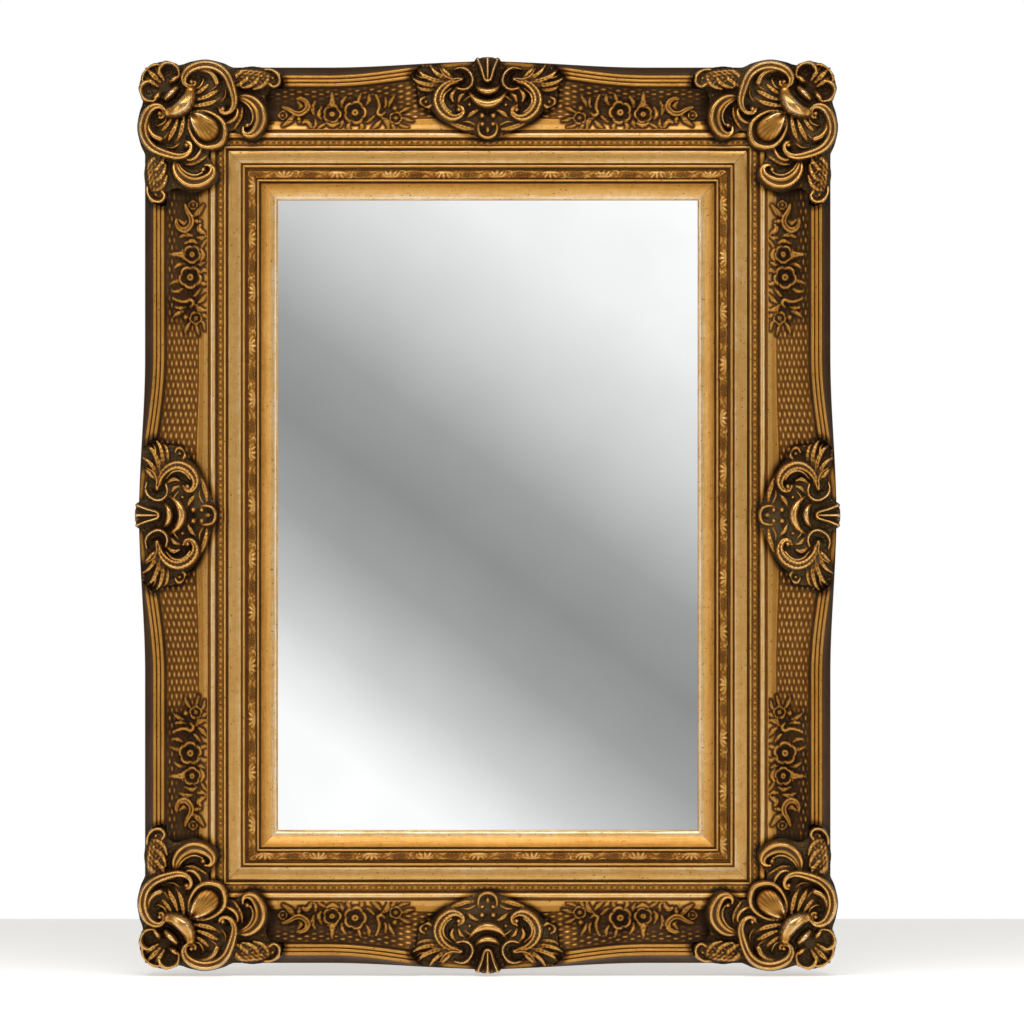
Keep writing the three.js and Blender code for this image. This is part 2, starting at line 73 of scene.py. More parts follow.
def wave(turns):
    # A raised cosine: 1 at every whole turn and 0 half way between.
    return 0.5 + 0.5 * np.cos(2 * math.pi * turns)


def bell(distance, width):
    # A bell curve: 1 at no distance, and 1/e at the width.
    return np.exp(-(distance / width) ** 2)


def bow(a, power=2):
    # An arch, 1 in the middle and 0 at a = -1 and 1: the root of 1 less a to the power.
    return np.sqrt(np.maximum(1 - np.abs(a) ** power, 0))


def cubicThrough(a, b, c, d, f):
    # The Catmull-Rom cubic from b to c, whose slopes come from a and d.
    return 0.5 * (2 * b + (c - a) * f + (2 * a - 5 * b + 4 * c - d) * f ** 2
                  + (3 * b - a - 3 * c + d) * f ** 3)


def smoothPath(knots, steps):
    # That cubic from knot to knot. Every column is carried along the same way.
    knots = np.asarray(knots, float)
    if len(knots) == 1:
        knots = np.vstack([knots, knots + 1e-3])
    padded = np.vstack([2 * knots[0] - knots[1], knots, 2 * knots[-1] - knots[-2]])
    place = np.linspace(0, len(knots) - 1, steps + 1)
    low = np.minimum(place.astype(int), len(knots) - 2)
    return cubicThrough(*(padded[low + i] for i in range(4)), (place - low)[:, None])


def closedPath(knots, steps):
    # The same through knots that run round to the first one again.
    knots = np.asarray(knots, float)
    place = np.linspace(0, len(knots), steps, endpoint=False)
    low = place.astype(int)
    return cubicThrough(*(knots[(low + i) % len(knots)] for i in (-1, 0, 1, 2)), (place - low)[:, None])


def nearPath(x, y, knots, margin):
    # For points near a path (columns x, y, crest, half width): which ones they are, how far across
    # they lie from -1 to 1, how far along in mm, and the path's crest and half width beside them.
    # Points up to the margin outside its foot count as near.
    stepsPerKnot = 8
    path = smoothPath(knots, stepsPerKnot * max(len(knots) - 1, 1))
    reach = path[:, 3].max() + margin
    near = np.nonzero((x > path[:, 0].min() - reach) & (x < path[:, 0].max() + reach)
                      & (y > path[:, 1].min() - reach) & (y < path[:, 1].max() + reach))[0]
    run = np.diff(path[:, :2], axis=0)
    length = np.maximum(np.hypot(run[:, 0], run[:, 1]), 1e-6)
    dx = x[near, None] - path[None, :-1, 0]
    dy = y[near, None] - path[None, :-1, 1]
    share = np.clip((dx * run[:, 0] + dy * run[:, 1]) / length ** 2, 0, 1)
    offX, offY = dx - share * run[:, 0], dy - share * run[:, 1]
    best = np.argmin(offX ** 2 + offY ** 2, axis=1)
    rows = np.arange(len(near))
    share = share[rows, best]
    offset = np.hypot(offX[rows, best], offY[rows, best])
    side = np.where(run[best, 0] * offY[rows, best] < run[best, 1] * offX[rows, best], -1, 1)
    crest, half = (path[best, k] + share * (path[best + 1, k] - path[best, k]) for k in (2, 3))
    along = np.concatenate([[0], np.cumsum(length)])[best] + share * length[best]
    return near, side * offset / np.maximum(half, 0.05), along, crest, half


# Sections of carved forms: a is how far across, from -1 to 1, s is the way along in mm and w is
# the half width in mm. Each gives its rise from 0 at the foot to 1 on the crest.
def domed(a, s, w):
    return bow(a, 2.8)


def rolled(a, s, w):  # two rolled edges with a shallow hollow between them
    return bow(a, 4) * (1 - 0.24 * bell(a - 0.1, 0.34))


def ribbed(a, s, w):  # a scroll with cross ribs on its back, 5.5 mm apart
    return rolled(a, s, w) * (0.93 + 0.07 * wave((s + 0.25 * w * np.abs(a)) / 5.5))


def veined(a, s, w):  # a rounded leaf with a sunk midrib and slanting veins, 6 mm apart
    return bow(a, 2.4) * (0.88 + 0.12 * wave((s - 0.8 * w * np.abs(a)) / 6.0)) * (1 - 0.20 * bell(a, 0.16))


def slashed(a, s, w):  # a broad leaf worked all over in short slanting cuts, 7.5 by 5.2 mm
    cuts = wave((s - 1.1 * w * np.abs(a)) / 7.5)
    return bow(a, 4) * (0.66 + 0.20 * cuts + 0.14 * wave(w * np.abs(a) / 5.2))


def keeled(a, s, w):
    return np.maximum(1 - np.abs(a) ** 1.6, 0)


def carve(x, y, forms, margin=1.0):
    # Every form is raised along its path, and where forms cross the higher one shows. Also gives
    # the signed distance in mm from the nearest form's foot, negative inside.
    height = np.zeros(len(x))
    foot = np.full(len(x), 1e3)
    for section, knots in forms:
        near, across, along, crest, half = nearPath(x, y, knots, margin)
        raised = crest * section(np.clip(across, -1, 1), along, half)
        height[near] = np.where(np.abs(across) < 1, np.maximum(height[near], raised), height[near])
        foot[near] = np.minimum(foot[near], (np.abs(across) - 1) * half)
    return height, foot


def outlineDistance(x, y, loop):
    # Signed distance from a closed outline, negative inside: the least distance to any of its
    # edges, with the sign from how many edges lie to the right of the point.
    least = np.full(len(x), 1e9)
    crossings = np.zeros(len(x), int)
    for (ax, ay), (bx, by) in zip(loop, np.roll(loop, -1, axis=0)):
        runX, runY = bx - ax, by - ay
        share = np.clip(((x - ax) * runX + (y - ay) * runY) / max(runX ** 2 + runY ** 2, 1e-9), 0, 1)
        least = np.minimum(least, (x - ax - share * runX) ** 2 + (y - ay - share * runY) ** 2)
        if ay != by:
            crossings += ((ay > y) != (by > y)) & (x < ax + runX * (y - ay) / runY)
    return np.sqrt(least) * np.where(crossings % 2 == 1, -1, 1)


def softened(field, cells):
    # A running mean over a square of cells, three times over, which is close to a Gaussian blur.
    count = 2 * cells + 1
    for axis in (0, 1, 0, 1, 0, 1):
        field = np.moveaxis(field, axis, 0)
        total = np.cumsum(np.pad(field, [(cells + 1, cells), (0, 0)], "edge"), axis=0)
        field = np.moveaxis((total[count:] - total[:-count]) / count, 0, axis)
    return field


liner = {
    # widths outward from the sight edge
    "bevel": 23.0, "quirk": 2.8, "innerRidge": 3.6, "leafStrip": 13.4, "thinRidge": 4.4, "step": 1.7,
    "fascia": 18.0, "joint": 3.2, "rebate": 9.0, "rootReach": 83.6,
    # heights above the wall
    "lipBack": 15.6, "sightHeight": 20.1, "glassBack": 11.3, "bevelTop": 34.0, "ridgeTop": 38.0,
    "stripFoot": 34.6, "stripTop": 38.4, "thinRidgeTop": 39.0, "fasciaTop": 41.0, "jointFloor": 36.5,
}
rail = {
    # widths outward from the liner
    "lipRidge": 3.5, "beadStrip": 8.5, "quirk": 2.4, "astragal": 8.6, "band": 13.0, "cove": 45.0,
    "groove": 3.0, "reed": 5.6, "reeds": 3, "spread": 13.5, "rebate": 11.0,
    # heights above the wall
    "lipBack": 30.0, "lipTop": 44.0, "astragalFoot": 45.0, "astragalTop": 50.0, "bandTop": 48.0,
    "coveFloor": 37.0, "coveTop": 58.0, "reedFoot": 61.4, "rimHeight": 65.0,
    # how far the rim swings out at the middle of a rail, and over what length
    "sweepRise": 21.0, "sweepReach": 228.0,
}
linerWidth = sum(liner[k] for k in ("bevel", "innerRidge", "leafStrip", "thinRidge", "step", "fascia"))
linerWidth += 2 * liner["quirk"]
railInner = linerWidth + liner["joint"]
bandStart = railInner + rail["lipRidge"] + rail["beadStrip"] + 2 * rail["quirk"] + rail["astragal"]
coveStart = bandStart + rail["band"]
coveEnd = coveStart + rail["cove"]
rimStart = coveStart + rail["cove"] + rail["groove"]
sideStart = rimStart + rail["reeds"] * rail["reed"]
railOuter = sideStart + rail["spread"]


def sweepAt(along):
    # Half a cosine wave: full rise at the middle of the rail, none beyond the reach.
    return rail["sweepRise"] * wave(np.minimum(np.abs(along) / rail["sweepReach"], 1) / 2)


# A section is rows of: outward, up, share of the sweep, tone from 0 in a recess to 1 on an edge,
# how bare the wood is left, and 1 where the surface turns sharply.
def sharp(out, up, tone, share=0, bare=0):
    return [out, up, share, tone, bare, 1]


def smooth(out, up, tone, share=0):
    return [out, up, share, tone, 0, 0]


def woodRows(*corners):
    return [sharp(out, up, 0.3, bare=1) for out, up in corners]


def sectionRows(steps, out, up, share, tone):
    # Rows of a curved member, with a sharp turn at each end of it.
    rows = np.zeros((steps + 1, 6))
    for column, values in enumerate((out, up, share, tone)):
        rows[:, column] = values
    rows[[0, -1], 5] = 1
    return rows.tolist()


def halfRound(start, width, foot, top, low, high, steps, share=0.0):
    # Half an ellipse from foot to foot, lighter toward its crest.
    turn = np.linspace(0, math.pi, steps + 1)
    rise = np.sin(turn)
    out = start + width * (0.5 - 0.5 * np.cos(turn))
    return sectionRows(steps, out, foot + (top - foot) * rise, share, low + (high - low) * rise)


def hollow(start, width, first, floor, last, lowAt, steps, tones, shares=(0.0, 0.0)):
    # Falls from the first height to the floor and rises to the last one, with the power 1.6.
    place = np.linspace(0, 1, steps + 1)
    fall = np.where(place < lowAt, 1 - place / lowAt, (place - lowAt) / (1 - lowAt))
    up = floor + (np.where(place < lowAt, first, last) - floor) * fall ** 1.6
    return sectionRows(steps, start + width * place, up, shares[0] + (shares[1] - shares[0]) * place,
                       tones[0] + (tones[1] - tones[0]) * place)


def stationsAlong(zones):
    # Stations from the middle outward, each zone with its own spacing, then mirrored.
    places = [0.0]
    for upTo, spacing in zones:
        count = max(int(round((upTo - places[-1]) / spacing)), 1)
        places += list(np.linspace(places[-1], upTo, count + 1)[1:])
    half = np.array(places)
    return np.concatenate([-half[:0:-1], half])


def mouldedShell(section, zones, halfSight, reach, reliefAt=None):
    # A closed tube: the section carried from mitre to mitre. At a station p within the sight
    # opening x = p. Beyond it x = half + (|p| - half) / reach * (out - gap), so that the lines fan
    # out to meet the mitre. Across, y = out + share * sweep(x).
    rows = np.array(section)
    stations = stationsAlong(zones)[:, None]
    beyond = np.clip(np.abs(stations) - halfSight, 0, None) / reach
    x = np.sign(stations) * (np.minimum(np.abs(stations), halfSight)
                             + beyond * (rows[:, 0] - opening["gap"]))
    out, h, share, tone, bare, turns = (np.broadcast_to(rows[:, k], x.shape) for k in (0, 1, 2, 3, 4, 5))
    y = out + share * sweepAt(x)
    if reliefAt is not None:
        h, tone = reliefAt(*(field.ravel() for field in (x, y, out, h, tone, bare)), x.shape)
    index = np.arange(x.size).reshape(x.shape)
    a, b = index[:-1], index[1:]
    quads = np.stack([a, b, np.roll(b, -1, axis=1), np.roll(a, -1, axis=1)], axis=-1).reshape(-1, 4)
    crease = np.where(turns > 0, np.arange(len(rows)), -1)
    mitre = np.full(x.shape, -1)
    mitre[0], mitre[-1] = 0, 1
    return {
        "plan": np.column_stack([x.ravel(), y.ravel(), h.ravel()]), "relief": tone.ravel(),
        "bare": bare.ravel(), "along": np.column_stack([x.ravel(), out.ravel()]),
        "crease": crease.ravel(), "mitre": mitre.ravel(),
        "faces": quads.tolist() + [index[0].tolist(), index[-1][::-1].tolist()],
    }


def joinShells(shells):
    # Several closed tubes in one mesh, each with crease and mitre numbers of its own.
    joined = {key: np.concatenate([shell[key] for shell in shells])
              for key in ("plan", "relief", "bare", "along")}
    for key in ("crease", "mitre"):
        joined[key] = np.concatenate([np.where(shell[key] >= 0, shell[key] + 1000 * number, -1)
                                      for number, shell in enumerate(shells)])
    starts = np.cumsum([0] + [len(shell["plan"]) for shell in shells]).tolist()
    joined["faces"] = [[i + start for i in face] for shell, start in zip(shells, starts)
                       for face in shell["faces"]]
    return joined


# The castings, in mm: their back and the floor of their bed, the ground of their relief, the size
# of a mesh cell, what a rounded edge loses, and how far a form may stand out over the outline.
casting = {
    "base": 36.3, "bed": 36.0, "ground": 49.8, "cell": 0.88, "crestCell": 0.9, "edgeRound": 2.2,
    "lip": 1.6,
}
cornerUnit = (railOuter - railInner + 7) / 125
crestUnit = (railOuter - railInner + 12) / 130

# The corner cartouche, in mm outward from the rails' inner corner: x, y, height above the bed
# and half width. It is the same on both sides of its diagonal.
cornerCasting = {
    "outline": [
        (114, 114), (122, 104), (126, 88), (121, 68), (126, 50), (129, 28), (124, 4), (117, -14),
        (119, -40), (114, -66), (104, -82), (86, -85), (76, -60), (45, -65), (17, -55), (9, -39),
        (17, -22), (24, -8), (12, -4), (3, 3),
    ],
    "sides": [
        # big C scroll
        (rolled, [(97, 43.5, 27, 1.6), (91, 43, 28, 2.2), (88, 50, 31, 3), (91, 57.5, 33, 4.2),
            (99, 59.5, 35, 5.6), (109, 54.5, 36, 7), (116, 43, 36, 7.6), (118.8, 28, 36, 7.6),
            (115, 12, 36, 7.6), (104, -1, 35.5, 7.2), (86, -9, 34, 6.8), (67, -13, 33, 5.8),
            (54.5, -9, 32, 4.4), (49.5, -1, 30, 3.4), (51, 7, 28, 2.6), (57, 9.5, 27, 1.8)]),
        # finger leaf that grows from its inner edge
        (domed, [(112, 46, 24, 1.4), (111, 36, 27, 3.4), (109.5, 25, 30, 4.6), (103, 16.5, 30, 5.6),
            (94, 12.5, 28, 5.6)]),
        # petals between the boss and the scroll
        (veined, [(76, 45, 25, 2), (82, 35, 26, 4.2), (89, 27, 23, 3.4), (95, 23, 18, 1.2)]),
        (veined, [(69, 40, 27, 2.6), (73, 28, 28, 5), (79, 17, 25, 4.6), (83, 8, 19, 1.5)]),
        (veined, [(60, 45, 27, 2.6), (61.5, 33, 28, 5), (65, 20, 26, 4.6), (70, 10, 20, 1.5)]),
        (veined, [(51, 47, 26, 2.4), (52, 36, 27, 4.4), (52, 26, 24, 4), (50, 17, 20, 1.6)]),
        (keeled, [(84, 50, 24, 2), (87, 38, 25, 3), (97, 32, 22, 2.4), (102, 34, 19, 1)]),
        (keeled, [(66, 6, 19, 2), (76, 0, 22, 2.6), (88, 1, 20, 1.2)]),
        (keeled, [(80, 26, 22, 1.6), (88, 14, 23, 2.4), (97, 4, 19, 1.2)]),
        # low mass under the petals, the hook and the worked leaf
        (domed, [(70, 36, 17.5, 8), (84, 26, 18.5, 12), (92, 14, 17.5, 11)]),
        (domed, [(56, 34, 17.5, 9), (66, 16, 18.5, 10), (66, 0, 17, 8)]),
        (domed, [(60, -20, 16.5, 5), (40, -14, 17.5, 8), (28, -8, 16.5, 5)]),
        (domed, [(88, 84, 16, 6), (96, 96, 18, 10), (106, 106, 18, 9)]),
        # hook that ties the scroll to the ring, and a leaf below it
        (domed, [(62, -13, 20, 1.6), (53, -17.5, 25, 3.2), (43, -14.5, 27, 3.8), (37, -6, 25, 3.2),
            (35, 1, 20, 1.6)]),
        (veined, [(58, -24, 20, 1.4), (47, -23, 23, 3.4), (36, -18, 22, 3), (27, -12, 18, 1.2)]),
        # broad C scroll on the band, and its inner lip
        (rolled, [(73, -17, 22, 2.6), (72, -29, 27, 6.4), (66, -40, 30, 8.8), (55, -48.5, 32, 10.2),
            (42, -50.5, 32, 10), (30, -47, 32, 9), (21, -40, 31, 7.4), (18.5, -31, 29, 5.2),
            (23, -25.5, 27, 3.4), (30, -25, 25, 2)]),
        (keeled, [(69, -20, 24, 1.6), (62, -31, 30, 2.6), (52, -38, 33, 3), (42, -39.5, 33, 3),
            (33, -36, 31, 2.4)]),
        # worked leaf on the rim, the fronds over it and the scroll at its end
        (slashed, [(101, -8, 23, 9), (101, -28, 26, 13.5), (99, -48, 26, 14), (97, -66, 23, 11)]),
        (veined, [(88, -10, 24, 2), (91, -20, 28, 3.6), (99, -30, 28, 3.6), (110, -36, 24, 1.4)]),
        (veined, [(96, -12, 24, 2), (103, -16, 28, 3.4), (112, -24, 25, 1.4)]),
        (veined, [(86, -24, 24, 2), (89, -36, 28, 3.8), (98, -46, 28, 3.6), (110, -50, 24, 1.4)]),
        (veined, [(84, -40, 24, 2), (88, -52, 27, 3.6), (97, -60, 27, 3.2), (107, -62, 23, 1.4)]),
        (domed, [(113, -56, 22, 2.2), (111.5, -68, 26, 3.4), (103, -77, 28, 3.8), (92.5, -77, 28, 3.6),
            (87.5, -69, 26, 3), (92, -62, 24, 2.2)]),
        # small C at the outer tip, and the lip inside it
        (domed, [(99, 68.5, 26, 2.4), (106, 66.5, 28, 3), (115, 69, 29, 3.4), (121, 77, 30, 3.6),
            (121.5, 87, 30, 4), (115, 94, 29, 4), (108, 95.5, 26, 2.4)]),
        (domed, [(101, 71.5, 28, 4), (97.5, 75, 30, 5), (95, 79, 27, 3)]),
        (keeled, [(95, 62, 22, 2), (104, 60.5, 23, 3), (116, 62, 21, 2)]),
        # leaf beside the tip
        (veined, [(88, 97, 21, 2), (95, 107, 27, 4.6), (101, 115, 23, 2)]),
    ],
    # beads in the curls and along the worked leaf
    "beads": [
        (94.6, 49, 32, 4.4), (56, 3.5, 31, 4.4), (32, -31.5, 30, 4.6), (100, -68, 27, 2.6),
        (95, -13, 28, 3.2), (106, -20, 27, 2.8), (89, -22, 28, 3), (98, -31, 28, 3.2), (109, -40, 27, 2.6),
        (93, -44, 28, 3), (103, -52, 28, 2.8),
    ],
    # forms that run on into their own mirror image: kidney boss, the bean beyond it, the lip of the
    # tip and the cup round the shell
    "arches": [
        (domed, [(50.5, 82, 33, 8.4), (53, 71, 41, 11), (60.2, 60.2, 45, 12.6)]),
        (domed, [(70.5, 85.5, 31, 4.4), (74.5, 81.5, 36, 5.6), (78, 78, 37.5, 6)]),
        (domed, [(88, 119, 22, 1.6), (101, 119.5, 26, 2.8), (112, 115, 25, 2.8)]),
        (domed, [(44, 54, 22, 2), (30, 53, 25, 3), (15, 47, 26, 3.8), (4, 37, 26.5, 4.4),
            (0.6, 25, 27, 4.8), (3.5, 11, 27.5, 5)]),
    ],
    "middle": [(veined, [(94, 94, 22, 2.4), (103, 103, 28, 5.6), (111, 111, 24, 3)])],
    # the shell: hinge, reach, spread to each side in radians, rise, and ribs in one radian
    "shell": {"hinge": (50, 50), "reach": 53, "spread": 0.87, "rise": 16.5, "ribs": 7.0},
}

# The middle ornament: x along the rail from its middle, y outward from its inner edge.
crestCasting = {
    "outline": [
        (0, 130), (17, 130), (25, 119), (42, 116), (58, 113), (76, 121), (96, 121), (113, 103),
        (104, 88), (100, 66), (84, 55), (70, 40), (46, 27), (18, 15), (0, 12),
    ],
    "sides": [
        # outer prong of the plume
        (domed, [(0, 95, 29, 2.4), (4, 97.5, 31, 2.6), (6.4, 104, 33, 2.6), (9.2, 114, 36, 2.8),
            (14.5, 127, 38, 2.8)]),
        # low mass under the leaves and between the scrolls
        (domed, [(14, 60, 16.5, 12), (34, 66, 16.5, 12), (42, 80, 16.5, 9)]),
        (domed, [(0, 36, 17, 11), (26, 38, 17, 10), (48, 40, 16, 6)]),
        (domed, [(58, 99, 17.5, 10), (78, 98, 18.5, 14), (96, 98, 17, 10)]),
        (domed, [(80, 74, 16, 6), (88, 66, 17, 9)]),
        # volute beside the plume, and the leaf lines that spring from its eye
        (domed, [(48, 113, 24, 1.4), (39, 115, 28, 2.2), (30, 112, 31, 2.8), (23.5, 104.5, 33, 3),
            (21.5, 95, 33, 3), (26, 87, 32, 2.8), (35, 83.5, 30, 2.6), (45, 86, 27, 2)]),
        (keeled, [(40, 100, 25, 1.8), (52, 99, 26, 2.6), (62, 104, 27, 2.8), (69, 114, 23, 1.6)]),
        (keeled, [(40, 97, 25, 1.8), (52, 94, 25, 2.4), (74, 94, 27, 2.6), (92, 87, 22, 1.6)]),
        # big ribbed C scroll, and its inner lip
        (ribbed, [(44, 94, 22, 2.6), (55, 93, 27, 5), (67, 83, 31, 7), (72, 69, 34, 7.8),
            (67, 54.5, 34, 7.8), (56, 45, 33, 7), (45, 43.5, 31, 5.6), (36, 49, 29, 4), (36, 57, 27, 2.8),
            (43, 61, 25, 1.8)]),
        (keeled, [(52, 86, 25, 1.4), (61, 77, 31, 2.2), (63.5, 67, 34, 2.4), (59, 57, 34, 2.4),
            (51, 51, 31, 1.8)]),
        # lower leaf and the thin scroll below it
        (veined, [(62, 41, 19, 1.8), (48, 34, 23, 4.2), (34, 29, 23, 4.6), (20, 27, 18, 2)]),
        (keeled, [(40, 37, 19, 1.6), (28, 37.5, 22, 2.6), (18, 33, 20, 1.4)]),
        # flame leaves that stand out along the rim
        (veined, [(50, 100, 22, 2), (57, 106, 26, 3.4), (63, 112, 25, 2.8), (67, 119, 21, 1.2)]),
        (veined, [(54, 98, 23, 2), (66, 102, 27, 4.4), (77, 110, 26, 3.6), (83, 119, 21, 1.2)]),
        (veined, [(57, 95, 23, 2), (76, 97, 28, 5), (92, 104, 26, 4), (101, 113, 21, 1.2)]),
        (veined, [(60, 91, 22, 2), (80, 90, 27, 4.6), (98, 94, 25, 3.8), (110, 101, 20, 1.4)]),
        (veined, [(72, 84, 21, 2), (84, 83, 24, 3.6), (96, 85, 22, 3), (103, 90, 18, 1.2)]),
        (keeled, [(86, 99, 26, 1.4), (96, 101, 24, 2), (104, 106, 20, 1)]),
        # small curl below them
        (domed, [(77, 74, 20, 2), (79, 64, 22, 3), (87, 57.5, 24, 3.2), (95, 61, 23, 3),
            (96.5, 69, 22, 2.6), (90, 73, 20, 1.8)]),
        # leaves inside the scroll
        (veined, [(31, 43, 19, 1.6), (22, 50, 23, 4), (9, 57, 18, 1.4)]),
        (veined, [(50, 66, 20, 2), (52, 75, 24, 4.4), (46, 84, 20, 2)]),
        (veined, [(42, 66, 20, 1.8), (39, 74, 23, 3.6), (31, 80, 20, 1.6)]),
        (keeled, [(34, 68, 20, 1.2), (26, 74, 23, 2.6), (18, 75, 20, 1.2)]),
    ],
    # eyes of the scrolls and volutes, and berries
    "beads": [
        (40, 98.5, 18, 8), (38, 98.5, 26, 3.6), (41.7, 54.5, 30, 4.4), (88.5, 66, 22, 3.2),
        (26, 62, 25, 3.2), (8, 46.5, 25, 4.8), (7.6, 34.5, 23, 3.8),
    ],
    # the two crescents and the ring of the rosette, each run on into its own mirror image
    "arches": [
        (domed, [(-18, 90, 21, 1.2), (-11, 83.5, 30, 4.6), (0, 80.5, 33, 5.8)]),
        (domed, [(-28, 82, 19, 1.4), (-17, 68.5, 29, 5.6), (0, 62.5, 33, 7.4)]),
        (domed, [(-10, 40, 18, 1.6), (-13.6, 30, 20, 2.2), (-10.4, 19, 21, 2.8), (0, 14.8, 22, 3)]),
    ],
    # the plume's middle prong and its foot, and the leaf in the rosette
    "middle": [
        (domed, [(0, 99, 29, 2.2), (0, 106, 33, 2.4), (0, 117, 37, 2.8), (0, 128, 38.8, 3.2)]),
        (domed, [(0, 99, 22, 6), (0, 111, 27, 9), (0, 122, 29, 12)]),
        (veined, [(0, 32, 17, 1.2), (0, 25, 19, 3.4), (0, 19, 16, 1)]),
    ],
}


def swapped(knots):
    return [(y, x, *rest) for x, y, *rest in knots]


def flipped(knots):
    return [(-x, y, *rest) for x, y, *rest in knots]


def mirrored(design, mirror):
    # The forms of both halves of a casting, and its whole outline. A knot of an arch that lies on
    # the middle line is its own mirror image and comes once.
    forms = list(design["middle"])
    for section, knots in design["arches"]:
        forms.append((section, knots + [knot for knot in mirror(knots)[::-1] if knot not in knots]))
    for section, knots in design["sides"] + [(domed, [bead]) for bead in design["beads"]]:
        forms += [(section, knots), (section, mirror(knots))]
    half = design["outline"]
    return forms, closedPath(half + mirror(half[1:-1])[::-1], 400)


def scaled(forms, unit):
    # Plan sizes are scaled by the unit. Crests are above the bed and become rises over the ground.
    ground = casting["ground"] - casting["base"]
    return [(section, [(x * unit, y * unit, max(crest - ground, 0.6), half * unit)
                       for x, y, crest, half in knots]) for section, knots in forms]


def shellHeight(x, y, shell, unit):
    # A scallop seen from its hinge: its rim draws in toward both sides by the power 2.5 of the
    # angle, its dome is the root of a sine of the share of the way to the rim, and its ribs are a
    # cosine of the angle.
    towardX, towardY = shell["hinge"][0] * unit - x, shell["hinge"][1] * unit - y
    angle = np.arctan2(towardY, towardX) - math.pi / 4
    rim = shell["reach"] * unit * np.maximum(1 - np.abs(angle / shell["spread"]) ** 2.5, 0.02)
    share = np.clip(np.hypot(towardX, towardY) / rim, 0, 1) ** 0.85
    dome = np.sqrt(np.maximum(np.sin(math.pi * share), 0))
    return shell["rise"] * dome * (0.95 + 0.05 * wave(shell["ribs"] * angle))


def leafyGround(x, y):
    # Short curled leaves all over the ground, 6.5 by 8.5 mm: two raised cosines multiplied, each
    # bent sideways by a sine of the other direction.
    return 2.4 * wave((x + 2.5 * np.sin(y / 6)) / 6.5) * wave((y + 2.5 * np.sin(x / 5)) / 8.5)


def castingTone(height, dome, cell):
    # How high a point stands over the ground, and over the mean of what lies 4 mm and 1.4 mm
    # round it. The shell's dome grows lighter toward its top, partly rubbed leaf and partly a painted
    # highlight.
    broad, fine = (height - softened(height, int(round(reach / cell))) for reach in (4.0, 1.4))
    tone = 0.11 + 0.20 * np.clip(height / 20, 0, 1) ** 0.8 + 0.14 * np.clip((height - 20) / 8, 0, 1)
    tone += np.clip(broad / 16, -0.10, 0.20) + np.clip(fine / 3.2, -0.12, 0.34)
    return np.clip(tone + 0.24 * (dome / 17) ** 2, 0.04, 1)


def castingShell(forms, loop, unit, cell, shell=None):
    # A height field on a square grid over the plan. Cells outside the casting's edge are dropped,
    # their outer corners are pulled onto the edge, and walls go down to a flat back.
    loop = loop * unit
    low, high = loop.min(0) - 2 * cell, loop.max(0) + 2 * cell
    gridX, gridY = np.meshgrid(*(np.arange(low[k], high[k], cell) for k in (0, 1)), indexing="ij")
    x, y = gridX.ravel(), gridY.ravel()
    edge = outlineDistance(x, y, loop)
    height, foot = carve(x, y, scaled(forms, unit))
    dome = shellHeight(x, y, shell, unit) if shell else np.zeros(len(x))
    height = np.maximum(np.maximum(height, leafyGround(x, y)), dome)
    dome = np.where(dome > height - 0.3, dome, 0)
    # The edge follows the outline, or the foot of a form that stands out over it by up to a lip.
    edge = np.minimum(edge + casting["lip"], np.maximum(foot, edge + 0.2))
    edge, height, dome = (field.reshape(gridX.shape) for field in (edge, height, dome))
    height = 0.35 * height + 0.65 * softened(height, 1)
    roundOver = np.clip(1 - np.abs(edge) / casting["edgeRound"], 0, 1) ** 2 * (edge < 0.5)
    top = casting["ground"] + height - casting["edgeRound"] * roundOver
    # Corners just outside the edge move onto it, against the slope of the distance.
    slopeX, slopeY = np.gradient(edge, cell)
    slope = np.maximum(np.hypot(slopeX, slopeY), 0.2)
    pull = np.where(edge > 0, edge, 0) / slope
    index = np.arange(gridX.size).reshape(gridX.shape)
    quads, corners = (np.stack([field[:-1, :-1], field[1:, :-1], field[1:, 1:], field[:-1, 1:]], axis=-1)
                      for field in (index, edge))
    kept = (corners < 0).any(-1) & (corners < 1.6 * cell).all(-1)
    used, place = np.unique(quads[kept].reshape(-1, 4), return_inverse=True)
    plan = np.column_stack([field.ravel()[used] for field in (
        gridX - pull * slopeX / slope, gridY - pull * slopeY / slope, top)])
    points, faces = closedBelow(plan, place.reshape(-1, 4).tolist())
    added = len(points) - len(used)
    relief = castingTone(height, dome, cell).ravel()[used]
    return {
        "plan": points, "faces": faces, "along": points[:, :2],
        "relief": np.concatenate([relief, np.full(added, 0.1)]),
        "bare": np.concatenate([np.zeros(len(used)), np.full(added, 0.4)]),
    }


def closedBelow(plan, quads):
    # Walls from the rim of a sheet down to the base, and a flat back across them.
    mesh = bpy.data.meshes.new("castingDraft")
    mesh.from_pydata(plan, [], quads)
    work = bmesh.new()
    work.from_mesh(mesh)
    walls = bmesh.ops.extrude_edge_only(work, edges=[e for e in work.edges if e.is_boundary])["geom"]
    for vertex in (g for g in walls if isinstance(g, bmesh.types.BMVert)):
        vertex.co.z = casting["base"]
    backs = bmesh.ops.holes_fill(work, edges=[e for e in work.edges if e.is_boundary], sides=0)["faces"]
    bmesh.ops.recalc_face_normals(work, faces=work.faces)
    bmesh.ops.triangulate(work, faces=backs)
    work.to_mesh(mesh)
    work.free()
    points = np.zeros(3 * len(mesh.vertices))
    mesh.vertices.foreach_get("co", points)
    # The walls come out in no fixed order, so the faces are sorted.
    faces = sorted(tuple(p.vertices) for p in mesh.polygons)
    bpy.data.meshes.remove(mesh)
    return points.reshape(-1, 3), faces


cornerForms, cornerLoop = mirrored(cornerCasting, swapped)
crestForms, crestLoop = mirrored(crestCasting, flipped)
print("castings designed")


